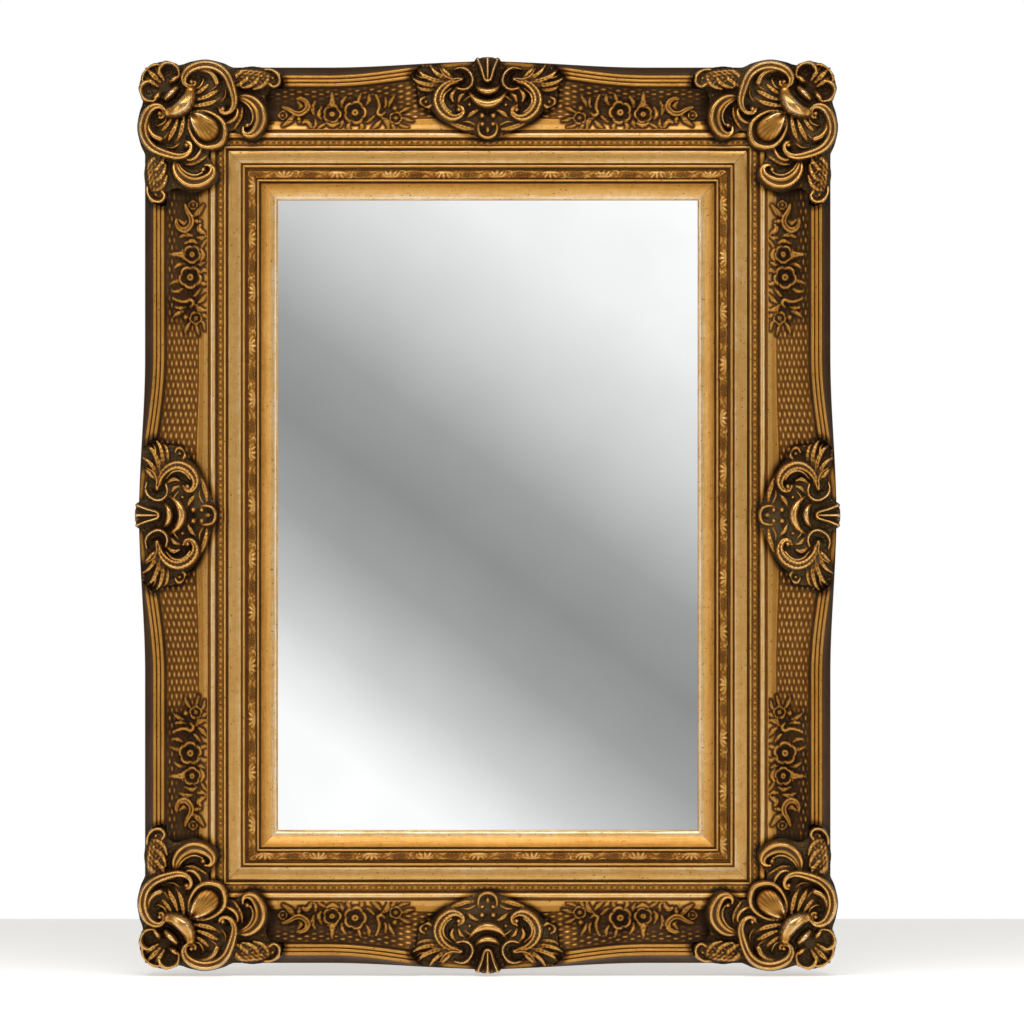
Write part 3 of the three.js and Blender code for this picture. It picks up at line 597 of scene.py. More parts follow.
# The floral spray in the cove: x along from the sight corner toward the middle, y outward from
# the rail's inner edge, height over the cove and half width.
spray = {
    "forms": [
        # curl at the corner end, and the leaves and buds under it
        (rolled, [(8, 58, 4, 2.2), (17, 55, 6, 3.4), (26, 50, 7, 4.2), (35, 49.8, 8, 4.6),
            (43, 56.8, 8, 4.6), (42, 65.5, 7, 4), (35, 70, 6, 3), (29, 70, 5, 2)]),
        (veined, [(30, 66, 4, 2), (34, 60, 6, 4), (31, 55, 4, 1.6)]),
        (veined, [(24, 48, 5, 2), (19, 41, 7, 4.6), (9, 32, 4, 1.6)]),
        (veined, [(28, 48, 4, 1.6), (31, 42, 6, 3), (32, 36, 4, 1.2)]),
        (domed, [(37, 37, 6, 2.6), (42, 39, 8, 3.8), (46, 35, 8, 3.4), (49, 30, 5, 2)]),
        (veined, [(54, 41, 5, 1.8), (55, 34, 6, 3), (52, 28, 4, 1.2)]),
        (veined, [(52, 48, 4, 1.6), (50, 57, 6, 3.6), (54, 66, 4, 1.4)]),
        (veined, [(63, 41, 4, 1.6), (59, 49, 6, 3.4), (63, 59, 4, 1.4)]),
        (veined, [(67, 34, 5, 2), (62, 31, 5, 2.6), (58, 27, 4, 1.2)]),
        (domed, [(71, 35.5, 5, 2), (79.5, 32.5, 7, 3.4), (88, 36, 5, 2)]),
        # bell of the small flower
        (veined, [(78.4, 62, 8, 6), (78.4, 69, 7, 3.8), (78.4, 78, 4, 1.4)]),
        (domed, [(71.5, 61, 5, 1.4), (78.4, 63.2, 8, 1.8), (85.3, 61, 5, 1.4)]),
        # leaves about the rose
        (veined, [(92, 58, 4, 1.6), (93, 66, 6, 3.2), (98, 73, 4, 1.2)]),
        (veined, [(95, 43, 4, 1.6), (93, 37, 6, 3.2), (90, 30, 4, 1.2)]),
        (veined, [(104, 36, 5, 2), (101, 31, 6, 3), (103, 27, 4, 1.2)]),
        (veined, [(118, 36, 5, 2), (121, 31, 6, 3), (120, 27, 4, 1.2)]),
        (veined, [(116, 66, 6, 2.4), (117.5, 72, 6, 2.6), (120, 78, 4, 1)]),
        (veined, [(127, 62, 4, 1.6), (131, 68, 6, 3), (131, 76, 4, 1.2)]),
        (veined, [(138, 46, 5, 1.8), (133, 41, 6, 3), (128, 37, 4, 1.2)]),
        (veined, [(147, 39, 5, 1.8), (142, 33, 7, 3.4), (136, 28, 4, 1.2)]),
        # thin scroll beyond it
        (domed, [(141, 75, 5, 1.8), (144.5, 67, 6, 2.3), (145.5, 58, 7, 2.5), (143, 50.5, 8, 3),
            (148, 47, 8, 3), (153.5, 51, 5, 2)]),
        (veined, [(150, 43, 5, 2), (156, 38.5, 8, 4.4), (158.5, 31, 6, 2.6), (158, 25.5, 4, 1.4)]),
        (veined, [(161, 36, 5, 1.8), (165.5, 31, 6, 2.8), (168, 26, 4, 1.2)]),
        # leaves at the end toward the middle
        (veined, [(159, 60, 4, 1.6), (162, 67, 6, 3.2), (167, 74, 4, 1.2)]),
        (veined, [(153, 58, 4, 1.4), (155, 64, 6, 2.8), (154, 72, 4, 1.2)]),
        (veined, [(176, 52, 5, 1.8), (183, 56, 6, 3), (190, 58.5, 4, 1.2)]),
        (veined, [(179, 43, 5, 1.8), (186, 41, 6, 2.8), (193, 38.5, 4, 1.2)]),
        (veined, [(175, 33, 5, 1.8), (180, 31, 5, 2.4), (186, 30, 4, 1.2)]),
    ],
    # bud at the end toward the middle
    "beads": [(167.7, 57.4, 8, 4)],
    # how far along the cove the lattice is kept low under it
    "length": 185.0,
    # flowers: place, radius, petals, rise
    "flowers": [(8, 47, 7, 4, 5), (78.4, 48.5, 14, 5, 8), (111, 51, 17.5, 5, 9), (169, 43, 10, 5, 6.5)],
}
spray["forms"] += [(domed, [bead]) for bead in spray["beads"]]


def flowerRise(x, y, centreX, centreY, radius, petals, rise):
    # The petals curl up to a lobed rim, a bell curve of the distance from it that sinks where two
    # petals meet, and slope down to a cup. A dome with a pit in its top stands in the cup.
    away = np.hypot(x - centreX, y - centreY) / radius
    turn = np.arctan2(y - centreY, x - centreX) * petals / (2 * math.pi)
    lobe = np.sqrt(np.cos(math.pi * (turn - np.round(turn))).clip(0, 1))
    rimAt = 0.68 + 0.17 * lobe
    rim = (0.55 + 0.45 * lobe) * bell(away - rimAt, 0.17)
    slope = 0.74 * lobe * np.clip((away - 0.28) / (rimAt - 0.28), 0, 1) * (away < rimAt)
    dome = 0.95 * bow(away / 0.36) - 0.45 * bell(away, 0.12)
    return rise * np.maximum(np.maximum(rim * (away < 1.05), slope), dome)


lattice = {"column": 3.15, "step": 20.6, "seedWidth": 1.55, "seedLength": 3.9, "rise": 1.9}


def latticeRise(along, out):
    # Oval seeds in columns, each column half a step on from the last one.
    across = (out - coveStart) / lattice["column"]
    column = np.round(across)
    place = (along / lattice["step"] + 0.5 * (column % 2)) % 1.0 - 0.5
    return bow(np.hypot((across - column) * lattice["column"] / lattice["seedWidth"],
                        place * lattice["step"] / lattice["seedLength"]))


beadString = {
    "pitch": 8.6, "length": 2.6, "width": 2.5, "large": 1.25, "seed": 1.3, "halfStrip": 4.2,
    "rise": 1.7, "sunk": 1.1,
}


def beadRise(along, across):
    # Ovals a pitch apart with two seeds between each two, and every fourth oval larger. Across is
    # from -1 to 1 over the strip.
    halfStrip = beadString["halfStrip"]
    number = np.round(along / beadString["pitch"])
    offset = along - number * beadString["pitch"]
    size = np.where(number % 4 == 0, beadString["large"], 1.0)
    oval = bow(np.hypot(offset / (beadString["length"] * size),
                        across * halfStrip / (beadString["width"] * size)))
    seeds = bow(np.hypot(beadString["pitch"] / 2 - np.abs(offset), (np.abs(across) - 0.5) * halfStrip)
                / beadString["seed"])
    return np.maximum(oval, 0.6 * seeds)


# The carved slip: x along one repeat, y outward across the strip.
leafStrip = {
    "repeat": 76.0, "sunk": 1.6,
    "forms": [
        # stem that winds on from repeat to repeat
        (domed, [(0, 4.5, 0.8, 0.8), (9, 1.8, 1, 0.9), (20, 2.2, 1, 0.9), (29, 6.5, 1, 0.9),
            (38, 10.6, 1, 0.9), (48, 11.6, 0.9, 0.9), (60, 9.6, 0.9, 0.9), (76, 4.5, 0.8, 0.8)]),
        # palm of five leaves, each curled outward
        (domed, [(12.5, 3, 1.6, 1), (6.5, 3.8, 2.2, 1.5), (2.5, 7, 1.8, 1.3)]),
        (domed, [(13, 3.4, 1.6, 1), (8.2, 7.2, 2.5, 1.9), (5.8, 11.2, 2, 1.4)]),
        (domed, [(14, 3.2, 1.8, 1.1), (13.2, 8, 2.7, 2), (13.8, 12.2, 2.1, 1.3)]),
        (domed, [(15.4, 3.4, 1.6, 1), (18.8, 7.4, 2.5, 1.9), (21.4, 11.2, 2, 1.4)]),
        (domed, [(16.5, 3, 1.6, 1), (21.8, 4.4, 2.2, 1.5), (25.8, 8.2, 1.8, 1.3)]),
        # scroll and leaves beyond it
        (domed, [(28, 11.6, 1.4, 0.9), (33.5, 11.2, 1.9, 1.2), (34.4, 7, 1.9, 1.2), (31, 7.4, 1.5, 1)]),
        (domed, [(62, 12, 1.2, 1.2), (66, 9.4, 1.6, 1.5), (70, 10.6, 1.2, 1.1)]),
        (domed, [(59.5, 2.4, 1.2, 1.1), (64, 3.8, 1.6, 1.4), (68.5, 2.2, 1.2, 1)]),
    ],
    # buds, and the petals of an open flower
    "beads": [
        (31, 3.4, 1.6, 1.6), (36.4, 3.6, 1.5, 1.5), (39.5, 6.6, 1.4, 1.3), (71.5, 6.4, 1.5, 1.5),
        (51, 6.4, 1, 1.2), (50.6, 9.8, 1.2, 1.3), (54.6, 7.6, 1.2, 1.3), (53.4, 3.2, 1.2, 1.3),
        (48.6, 3, 1.2, 1.3), (47, 7.2, 1.2, 1.3),
    ],
    # the shade round that flower: place and reach
    "flower": (50.8, 6.2, 8.0),
}
leafStrip["forms"] += [(domed, [bead]) for bead in leafStrip["beads"]]


def linerRelief(x, y, out, h, tone, bare, shape):
    # The repeats run on along the strip, every second one turned over across it.
    start = liner["bevel"] + liner["quirk"] + liner["innerRidge"]
    number = np.floor(x / leafStrip["repeat"])
    along = x - number * leafStrip["repeat"]
    across = np.where(number % 2 == 0, out - start, liner["leafStrip"] - (out - start))
    inside = (out > start) & (out < start + liner["leafStrip"]) & (h > liner["bevelTop"] - 4)
    raised = carve(along, across, leafStrip["forms"])[0]
    flowerX, flowerY, flowerReach = leafStrip["flower"]
    dark = np.exp(-(np.hypot(along - flowerX, across - flowerY) / flowerReach) ** 4)
    stripTone = 0.43 + 0.17 * raised - 0.13 * dark - 0.05 * (raised < 0.05)
    return h - np.where(inside, leafStrip["sunk"] - raised, 0), np.where(inside, stripTone, tone)


def sprayRise(fromCorner, y):
    # The height of the spray's forms and flowers, and the distance from the nearest one's foot.
    raised, foot = carve(fromCorner, y, spray["forms"], 6.0)
    for centreX, centreY, radius, petals, rise in spray["flowers"]:
        raised = np.maximum(raised, flowerRise(fromCorner, y, centreX, centreY, radius, petals, rise))
        foot = np.minimum(foot, np.hypot(fromCorner - centreX, y - centreY) - radius)
    return raised, foot


def sprayTone(raised, shape):
    # Darkest in the ground, and lighter where a point stands over the mean of 3 cells and of 1.
    broad, fine = (raised - softened(raised.reshape(shape), cells).ravel() for cells in (3, 1))
    tone = 0.04 + 0.15 * np.clip(raised / 8, 0, 1) + np.clip(broad / 9, -0.10, 0.22)
    return np.clip(tone + np.clip(fine / 3.2, -0.10, 0.24), 0.02, 0.9)


def railRelief(x, y, out, h, tone, bare, shape, halfSight):
    front = bare < 0.5
    # beads on the inner strip
    across = 2 * (out - railInner - rail["lipRidge"]) / rail["beadStrip"] - 1
    inStrip = (np.abs(across) < 0.98) & (h > rail["lipTop"] - 4) & front
    beads = beadRise(x, across)
    h = h + np.where(inStrip, beadString["rise"] * beads - beadString["sunk"], 0)
    tone = np.where(inStrip, 0.30 + 0.36 * beads, tone)
    # seeds and sprays in the cove, and the sprays' tips on the band and the rim
    inCove = (out > coveStart + 0.5) & (out < coveEnd - 0.5) & (h > 30) & front
    onBand = (out > bandStart + 1.5) & (out <= coveStart + 0.5) & (h > 40) & front
    onRim = (out > coveEnd - 0.5) & (out < sideStart) & (h > 50) & front
    fromCorner, inward = halfSight - np.abs(x), y - railInner
    raised, foot = sprayRise(fromCorner, inward)
    underSpray = np.clip((spray["length"] - fromCorner) / 20, 0, 1)
    seedShare = 1 - 0.8 * underSpray * np.clip((76 - inward) / 8, 0, 1)
    seedShare = seedShare * np.clip(np.minimum(out - coveStart, coveEnd - out) / 3, 0, 1)
    seeds = latticeRise(x, out) * seedShare
    seeded = lattice["rise"] * seeds
    h += np.where(inCove, np.maximum(seeded, raised), 0)
    h += np.where(onBand, 0.55 * raised, 0) + np.where(onRim, np.maximum(raised - 3, 0), 0)
    seedTone = 0.07 + 0.20 * (1 - underSpray) + 0.62 * seeds
    carved = sprayTone(raised, shape)
    tone = np.where(inCove, np.where(raised > seeded, carved, seedTone), tone)
    tone = np.where(onBand & (raised > 0.3), carved, tone)
    # painted shadow darkens the ground round the feet of the forms, most on the band
    shade = np.clip((4.5 - foot) / 2.5, 0, 1) * (raised < 0.3) * (inCove | onBand)
    tone = tone + (0.05 - tone) * shade * np.where(onBand, 0.9, 0.6)
    # flat beds under the castings, and painted shadow of the castings in their beds and beside them
    crestEdge = outlineDistance(x, inward, crestLoop * crestUnit)
    cornerEdge = outlineDistance(-fromCorner - railInner, inward, cornerLoop * cornerUnit)
    edge = np.minimum(crestEdge, cornerEdge)
    inBed = (edge < -2.6) | ((np.abs(x) < 88 * crestUnit) & (y > sideStart))
    h = np.where(inBed & front, np.minimum(h, casting["bed"]), h)
    tone = tone - 0.45 * bell(np.maximum(edge, 0), 4.0) * front
    return h, np.clip(tone, 0, 1)


def linerShells(halfSight):
    gap, quirk, back = opening["gap"], liner["quirk"], liner["glassBack"]
    # the bevel at the glass and the ridge beyond it
    at, top, foot = liner["bevel"], liner["bevelTop"], liner["stripFoot"]
    stripStart = at + quirk + liner["innerRidge"]
    stripEnd = stripStart + liner["leafStrip"]
    plain = [sharp(0, liner["lipBack"], 0.3, bare=0.6), sharp(0, liner["sightHeight"] - 1, 0.7)]
    plain += [smooth(0.5, liner["sightHeight"] + 0.4, 0.85)]
    plain += hollow(1.4, at - 1.4, 21.4, 23.1, top, 0.01, 12, (1.0, 0.52))[1:]
    plain += [sharp(at - 0.1, top - 2.2, 0.22), sharp(at + quirk, top - 2.2, 0.22)]
    plain += halfRound(at + quirk, liner["innerRidge"], top, liner["ridgeTop"], 0.40, 0.82, 8)
    plain += woodRows((stripStart, back), (liner["rebate"], back), (liner["rebate"], liner["lipBack"]))
    # the strip that carries the leaves
    strip = woodRows((stripStart - 0.1, back)) + [sharp(stripStart - 0.1, foot, 0.16)]
    strip += halfRound(stripStart, liner["leafStrip"], foot, liner["stripTop"], 0.2, 0.3, 13)[1:-1]
    strip += [sharp(stripEnd, foot, 0.16)] + woodRows((stripEnd, back))
    # the thin ridge, the fascia, and the tongue under the rail
    at, top = stripEnd, liner["thinRidgeTop"]
    outer = woodRows((at - 0.1, back)) + [sharp(at - 0.1, 35.0, 0.22), sharp(at + quirk, 35.2, 0.22)]
    outer += halfRound(at + quirk, liner["thinRidge"], top - 3, top, 0.40, 0.78, 8)
    at, top = linerWidth - liner["fascia"], liner["fasciaTop"]
    outer += [sharp(at - 0.8, top - 4, 0.40), sharp(at, top - 4, 0.40)]
    outer += [smooth(at + place, top - drop, tone) for place, drop, tone in (
        (0.2, 2.4, 0.5), (1.0, 1.9, 0.9), (9, 0.7, 0.78), (liner["fascia"] - 1.4, 0, 0.8),
        (liner["fascia"] - 0.3, 0.6, 0.9))]
    outer += [sharp(linerWidth, top - 1.4, 0.5)]
    lip = rail["lipBack"] - gap
    outer += [sharp(place, up, 0.3) for place, up in (
        (linerWidth + 0.05, liner["jointFloor"]), (railInner - gap, liner["jointFloor"]),
        (railInner - gap, lip), (liner["rootReach"], lip))]
    outer += woodRows((liner["rootReach"], back))
    reach = 60.0
    dense = [(halfSight, 1.45), (halfSight + reach, 2.0)]
    few = [(halfSight, halfSight / 6), (halfSight + reach, reach)]
    return [mouldedShell(plain, few, halfSight, reach),
            mouldedShell(strip, dense, halfSight, reach, linerRelief),
            mouldedShell(outer, few, halfSight, reach)]


def railShells(halfSight):
    # the lip's ridge, the beaded strip and the astragal
    at, top, quirk = railInner, rail["lipTop"], rail["quirk"]
    inner = [sharp(at, rail["lipBack"], 0, bare=0.5), sharp(at, top - 3, 0.3)]
    inner += halfRound(at, rail["lipRidge"], top - 2, top, 0.4, 0.85, 5)
    at += rail["lipRidge"]
    inner += [sharp(at + 0.2, top, 0.2)]
    inner += [smooth(at + place, top + 0.5, 0.3) for place in np.linspace(0.6, rail["beadStrip"] - 0.6, 8)]
    at += rail["beadStrip"]
    inner += [sharp(at, top, 0.2), sharp(at + 0.3, top - 0.6, 0.18), sharp(at + quirk, top - 0.6, 0.18)]
    at += quirk
    foot = rail["astragalFoot"]
    inner += halfRound(at, rail["astragal"], foot, rail["astragalTop"], 0.45, 0.92, 9)
    at += rail["astragal"]
    inner += [sharp(at + quirk - 0.1, foot, 0.32), sharp(bandStart + 0.05, foot, 0.32)]
    inner += woodRows((bandStart + 0.05, 0), (railInner + rail["rebate"], 0),
                      (railInner + rail["rebate"], rail["lipBack"]))
    # the band, its outer part toned down
    top = rail["bandTop"]
    outer = woodRows((bandStart, 0)) + [sharp(bandStart, foot, 0.32)]
    outer += [smooth(bandStart + 0.2, top - 0.8, 0.5)]
    for share in np.linspace(0, 1, 11):
        tone = 0.78 - 0.10 * share - 0.12 * (share > 0.45)
        outer += [smooth(bandStart + 0.9 + (rail["band"] - 1.8) * share, top - 2.7 * share, tone,
                         0.02 + 0.22 * share)]
    outer += [sharp(coveStart, top - 3.4, 0.5, 0.25)]
    # the cove, the reeds and the side
    outer += hollow(coveStart + 0.1, rail["cove"], 43, rail["coveFloor"], rail["coveTop"], 0.35, 40,
                    (0.1, 0.2), (0.25, 1.0))
    outer += [sharp(rimStart - 2.7, rail["coveTop"] - 0.6, 0.1, 1)]
    outer += [sharp(rimStart - 0.2, rail["coveTop"] - 0.4, 0.1, 1)]
    for reed in range(rail["reeds"]):
        member = halfRound(rimStart + reed * rail["reed"], rail["reed"], rail["reedFoot"], rail["rimHeight"],
                           0.28, 0.68, 6, 1.0)
        outer += member if reed == 0 else member[1:]
    # the side's tone falls step by step outward: painted shade on the side that turns from the light
    for step, (along, up, share) in enumerate([(0.06, 0.93, 0.97), (0.11, 0.86, 0.95), (0.22, 0.73, 0.88),
                                               (0.33, 0.62, 0.8), (0.6, 0.47, 0.64), (0.85, 0.36, 0.5)]):
        outer += [smooth(sideStart + along * rail["spread"], up * rail["rimHeight"], 0.22 - 0.02 * step,
                         share)]
    outer += [sharp(railOuter, 20, 0.1, 0.4, 0.3), sharp(railOuter, 0, 0.1, 0.4, 0.8)]
    # closer stations where there is carving: the crest, then plain lattice, then the spray
    reach = 100.0
    ends, plainEnd = halfSight + reach, halfSight - spray["length"]
    zones = [(14, 7), (116, 2.4)] + [(plainEnd, 2.3)] * (plainEnd > 116) + [(halfSight + 4, 1.75), (ends, 9)]

    def reliefAt(*fields):
        return railRelief(*fields, halfSight)
    return [mouldedShell(inner, [(halfSight, 1.75), (ends, 2.2)], halfSight, reach, reliefAt),
            mouldedShell(outer, zones, halfSight, reach, reliefAt)]


def linear(colour):
    # sRGB hex to linear light. A plain number becomes that grey.
    if not isinstance(colour, str):
        return (colour, colour, colour, 1.0)
    parts = [int(colour[i:i + 2], 16) / 255 for i in (1, 3, 5)]
    return tuple(c / 12.92 if c < 0.04045 else ((c + 0.055) / 1.055) ** 2.4 for c in parts) + (1.0,)


def addNode(tree, kind, inputs=None, stops=(), output=0, **settings):
    # Adds a node with its settings and gives one of its outputs, or the node itself for None. A
    # socket among the inputs is linked, and a value is typed in. Stops are places and colours.
    node = tree.nodes.new("ShaderNode" + kind)
    for key, value in settings.items():
        setattr(node, key, value)
    for key, value in (inputs or {}).items():
        if isinstance(value, bpy.types.NodeSocket):
            tree.links.new(value, node.inputs[key])
        else:
            node.inputs[key].default_value = value
    if stops:
        elements = node.color_ramp.elements
        while len(elements) < len(stops):
            elements.new(0.5)
        for element, (place, colour) in zip(elements, stops):
            element.position = place
            element.color = linear(colour)
    return node if output is None else node.outputs[output]


def newMaterial(name):
    material = bpy.data.materials.new(name)
    material.use_nodes = True
    material.node_tree.nodes.clear()
    return material, material.node_tree


antiqueGilt = {
    # umber wash left in the recesses, bole showing through, and the leaf itself from dull to
    # rubbed, each with the tone at which it shows
    "colours": [(0.0, "#2B1B0B"), (0.17, "#503315"), (0.38, "#7F5220"), (0.62, "#B17E38"),
                (0.84, "#D0A25E"), (1.0, "#E6D1AE")],
    "wash": "#503315", "dust": "#615338", "bareWood": "#8A6236", "woodGrain": "#5E3F20",
    # sizes in mm, with the length and width of a brush streak and the height of a gesso lump
    "mottle": 9.0, "cloud": 70.0, "streak": (60.0, 1.2), "speck": 3.3, "gesso": 2.0, "lump": 0.6,
    # how far mottle and cloud move the tone, and how strong the specks and the lumps are
    "mottled": 0.20, "clouded": 0.16, "specked": 0.75, "lumpy": 0.35,
}


def giltMaterial(name, dusty, brushed=0.0, metallic=0.86, roughness=(0.62, 0.36)):
    # Gold leaf over bole and gesso, toned with umber and rubbed back: it glows softly on edges and
    # crests, goes to dull brown where the wash stays, and its gesso leaves a fine unevenness.
    gilt = antiqueGilt
    material, tree = newMaterial(name)
    place = addNode(tree, "TexCoord", output="Object")
    plan = addNode(tree, "UVMap", uv_map="plan")
    relief = addNode(tree, "Attribute", attribute_name="relief", output="Fac")
    bare = addNode(tree, "Attribute", attribute_name="bare", output="Fac")
    mottle = addNode(tree, "TexNoise", {"Vector": place, "Scale": 1000 / gilt["mottle"],
                                        "Detail": 5.0, "Roughness": 0.6})
    cloud = addNode(tree, "TexNoise", {"Vector": place, "Scale": 1000 / gilt["cloud"], "Detail": 3.0})
    length, width = gilt["streak"]
    stretched = addNode(tree, "Mapping", {"Vector": plan, "Scale": (1000 / length, 1000 / width, 1.0)})
    streaks = addNode(tree, "TexNoise", {"Vector": stretched, "Scale": 1.0, "Detail": 3.0})
    # Tone is the relief, moved up and down by mottle, cloud and streaks about their middle value.
    tone = relief
    for source, amount in ((mottle, gilt["mottled"]), (cloud, gilt["clouded"]), (streaks, brushed)):
        if amount:
            centred = addNode(tree, "Math", {0: source, 1: 0.5}, operation="SUBTRACT")
            tone = addNode(tree, "Math", {0: centred, 1: amount, 2: tone},
                           operation="MULTIPLY_ADD", use_clamp=True)
    colour = addNode(tree, "ValToRGB", {0: tone}, gilt["colours"])
    # Specks of the wash flicked over the leaf, about 1 mm.
    specks = addNode(tree, "TexNoise", {"Vector": place, "Scale": 1000 / gilt["speck"], "Detail": 1.0})
    speckMask = addNode(tree, "ValToRGB", {0: specks}, [(0.0, 1), (0.27, 1), (0.31, 0), (1.0, 0)])
    speckShare = addNode(tree, "Math", {0: speckMask, 1: gilt["specked"]}, operation="MULTIPLY")
    toned = addNode(tree, "Mix", {0: speckShare, 6: colour, 7: linear(gilt["wash"])},
                    output=2, data_type="RGBA")
    # Dull dust lies in the deep places, in patches.
    deep = addNode(tree, "MapRange", {"Value": relief, "From Min": 0.30, "From Max": 0.12})
    patches = addNode(tree, "ValToRGB", {0: cloud}, [(0.42, 0), (0.64, dusty)])
    dustShare = addNode(tree, "Math", {0: deep, 1: patches}, operation="MULTIPLY")
    toned = addNode(tree, "Mix", {0: dustShare, 6: toned, 7: linear(gilt["dust"])},
                    output=2, data_type="RGBA")
    # Bare wood on the sides and the back is duller, rougher and no metal.
    wood = addNode(tree, "TexNoise", {"Vector": stretched, "Scale": 0.5, "Detail": 4.0})
    woodColour = addNode(tree, "ValToRGB", {0: wood}, [(0.3, gilt["woodGrain"]), (0.7, gilt["bareWood"])])
    full = addNode(tree, "Mix", {0: bare, 6: toned, 7: woodColour}, output=2, data_type="RGBA")
    rough = addNode(tree, "MapRange", {"Value": tone, "From Max": 0.8, "To Min": roughness[0],
                                       "To Max": roughness[1]})
    roughBare = addNode(tree, "Math", {0: bare, 1: 0.4, 2: rough}, operation="MULTIPLY_ADD",
                        use_clamp=True)
    metal = addNode(tree, "MapRange", {"Value": tone, "From Max": 0.45, "To Min": 0.55,
                                       "To Max": metallic})
    metalBare = addNode(tree, "Math", {0: metal, 1: bare}, operation="SUBTRACT", use_clamp=True)
    gesso = addNode(tree, "TexNoise", {"Vector": place, "Scale": 1000 / gilt["gesso"], "Detail": 4.0,
                                       "Roughness": 0.65})
    lumps = addNode(tree, "Math", {0: streaks, 1: 1.5 * brushed + 0.05, 2: gesso},
                    operation="MULTIPLY_ADD")
    bump = addNode(tree, "Bump", {"Height": lumps, "Strength": gilt["lumpy"],
                                  "Distance": gilt["lump"] * toMetres})
    surface = addNode(tree, "BsdfPrincipled", {
        "Base Color": full, "Roughness": roughBare, "Metallic": metalBare, "Normal": bump,
        "Specular IOR Level": 0.2})
    addNode(tree, "OutputMaterial", {0: surface}, output=None)
    return material


mirrorGlass = {"hazeSize": 120.0, "tints": [(0.3, "#F4F6F6"), (0.7, "#F9FAFA")], "roughness": 0.012}


def silveredGlass():
    # Float glass silvered on its back: a clear, faintly green-grey mirror with hardly any haze.
    material, tree = newMaterial("silvered float glass")
    place = addNode(tree, "TexCoord", output="Object")
    haze = addNode(tree, "TexNoise", {"Vector": place, "Scale": 1000 / mirrorGlass["hazeSize"],
                                      "Detail": 2.0})
    tint = addNode(tree, "ValToRGB", {0: haze}, mirrorGlass["tints"])
    surface = addNode(tree, "BsdfPrincipled", {
        "Base Color": tint, "Metallic": 1.0, "Roughness": mirrorGlass["roughness"]})
    addNode(tree, "OutputMaterial", {0: surface}, output=None)
    return material


board = {
    # grain across and along in mm
    "grain": (9.0, 260.0), "roughness": 0.72, "relief": 0.3, "ringHeight": 0.6,
    "colours": [(0.3, "#7E5B36"), (0.5, "#A88455"), (0.72, "#BC9A68")],
}


def backBoard():
    # Planed pine back board, oiled a little by age: long grain with darker late wood.
    material, tree = newMaterial("aged pine board")
    place = addNode(tree, "TexCoord", output="Object")
    across, along = (1000 / size for size in board["grain"])
    grain = addNode(tree, "Mapping", {"Vector": place, "Scale": (across, across, along)})
    rings = addNode(tree, "TexNoise", {"Vector": grain, "Scale": 1.0, "Detail": 5.0, "Distortion": 0.4})
    colour = addNode(tree, "ValToRGB", {0: rings}, board["colours"])
    bump = addNode(tree, "Bump", {"Height": rings, "Strength": board["relief"],
                                  "Distance": board["ringHeight"] * toMetres})
    surface = addNode(tree, "BsdfPrincipled", {
        "Base Color": colour, "Roughness": board["roughness"], "Normal": bump})
    addNode(tree, "OutputMaterial", {0: surface}, output=None)
    return material


railGilt = giltMaterial("antique gold leaf, rail", 0.15, brushed=0.22)
linerGilt = giltMaterial("antique gold leaf, liner", 0.1, brushed=0.26, roughness=(0.6, 0.40))
castingGilt = giltMaterial("antique gold leaf, casting", 0.55, metallic=0.88, roughness=(0.6, 0.27))
print("finishes ready")


def placeShell(node, shell, at, turn, material):
    # One piece: the shell stood up on its side of the frame. Its tone and bareness go on its
    # points, its own plan in metres goes in a UV layer, and creases and mitres stay sharp.
    name = node.replace("_", "-")
    mesh = bpy.data.meshes.new(name)
    points = np.clip(standUp(shell["plan"], at, turn), np.array(cadLow), np.array(cadHigh))
    mesh.from_pydata(points, [], shell["faces"])
    for label in ("relief", "bare"):
        layer = mesh.attributes.new(label, "FLOAT", "POINT")
        layer.data.foreach_set("value", shell[label].astype(np.float32))
    corners = np.zeros(len(mesh.loops), np.int32)
    mesh.loops.foreach_get("vertex_index", corners)
    layer = mesh.uv_layers.new(name="plan")
    layer.data.foreach_set("uv", (shell["along"].astype(np.float32)[corners] * toMetres).ravel())
    mesh.shade_smooth()
    rings = [shell[key] for key in ("crease", "mitre") if key in shell]
    if rings:
        ends = np.zeros(2 * len(mesh.edges), np.int32)
        mesh.edges.foreach_get("vertices", ends)
        a, b = ends.reshape(-1, 2).T
        layer = mesh.attributes.new("sharp_edge", "BOOLEAN", "EDGE")
        turns = np.any([(ring[a] >= 0) & (ring[a] == ring[b]) for ring in rings], axis=0)
        layer.data.foreach_set("value", turns)
    mesh.materials.append(material)
    piece = bpy.data.objects.new(name, mesh)
    bpy.context.scene.collection.objects.link(piece)
    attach(piece, "root")
    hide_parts(node)
    triangles = sum(len(face) - 2 for face in shell["faces"])
    print(node, triangles, "triangles")
    return triangles


wide, tall = opening["halfWidth"], opening["halfHeight"]
sides = [("top", (0, tall), 0.0, wide), ("right", (wide, 0), -quarter, tall),
         ("bottom", (0, -tall), 2 * quarter, wide), ("left", (-wide, 0), quarter, tall)]
cornerPlaces = [("top_right", (wide, tall), 0.0), ("bottom_right", (wide, -tall), -quarter),
                ("bottom_left", (-wide, -tall), 2 * quarter), ("top_left", (-wide, tall), quarter)]

total = 0
shells = {half: (joinShells(linerShells(half)), joinShells(railShells(half))) for half in (wide, tall)}
for name, at, turn, half in sides:
    total += placeShell(f"liner_{name}", shells[half][0], at, turn, linerGilt)
    total += placeShell(f"rail_{name}", shells[half][1], at, turn, railGilt)

crestShell = castingShell(crestForms, crestLoop, crestUnit, casting["crestCell"])
crestShell["plan"] = crestShell["plan"] + [0, railInner, 0]
for name, at, turn, half in sides:
    total += placeShell(f"crest_{name}", crestShell, at, turn, castingGilt)

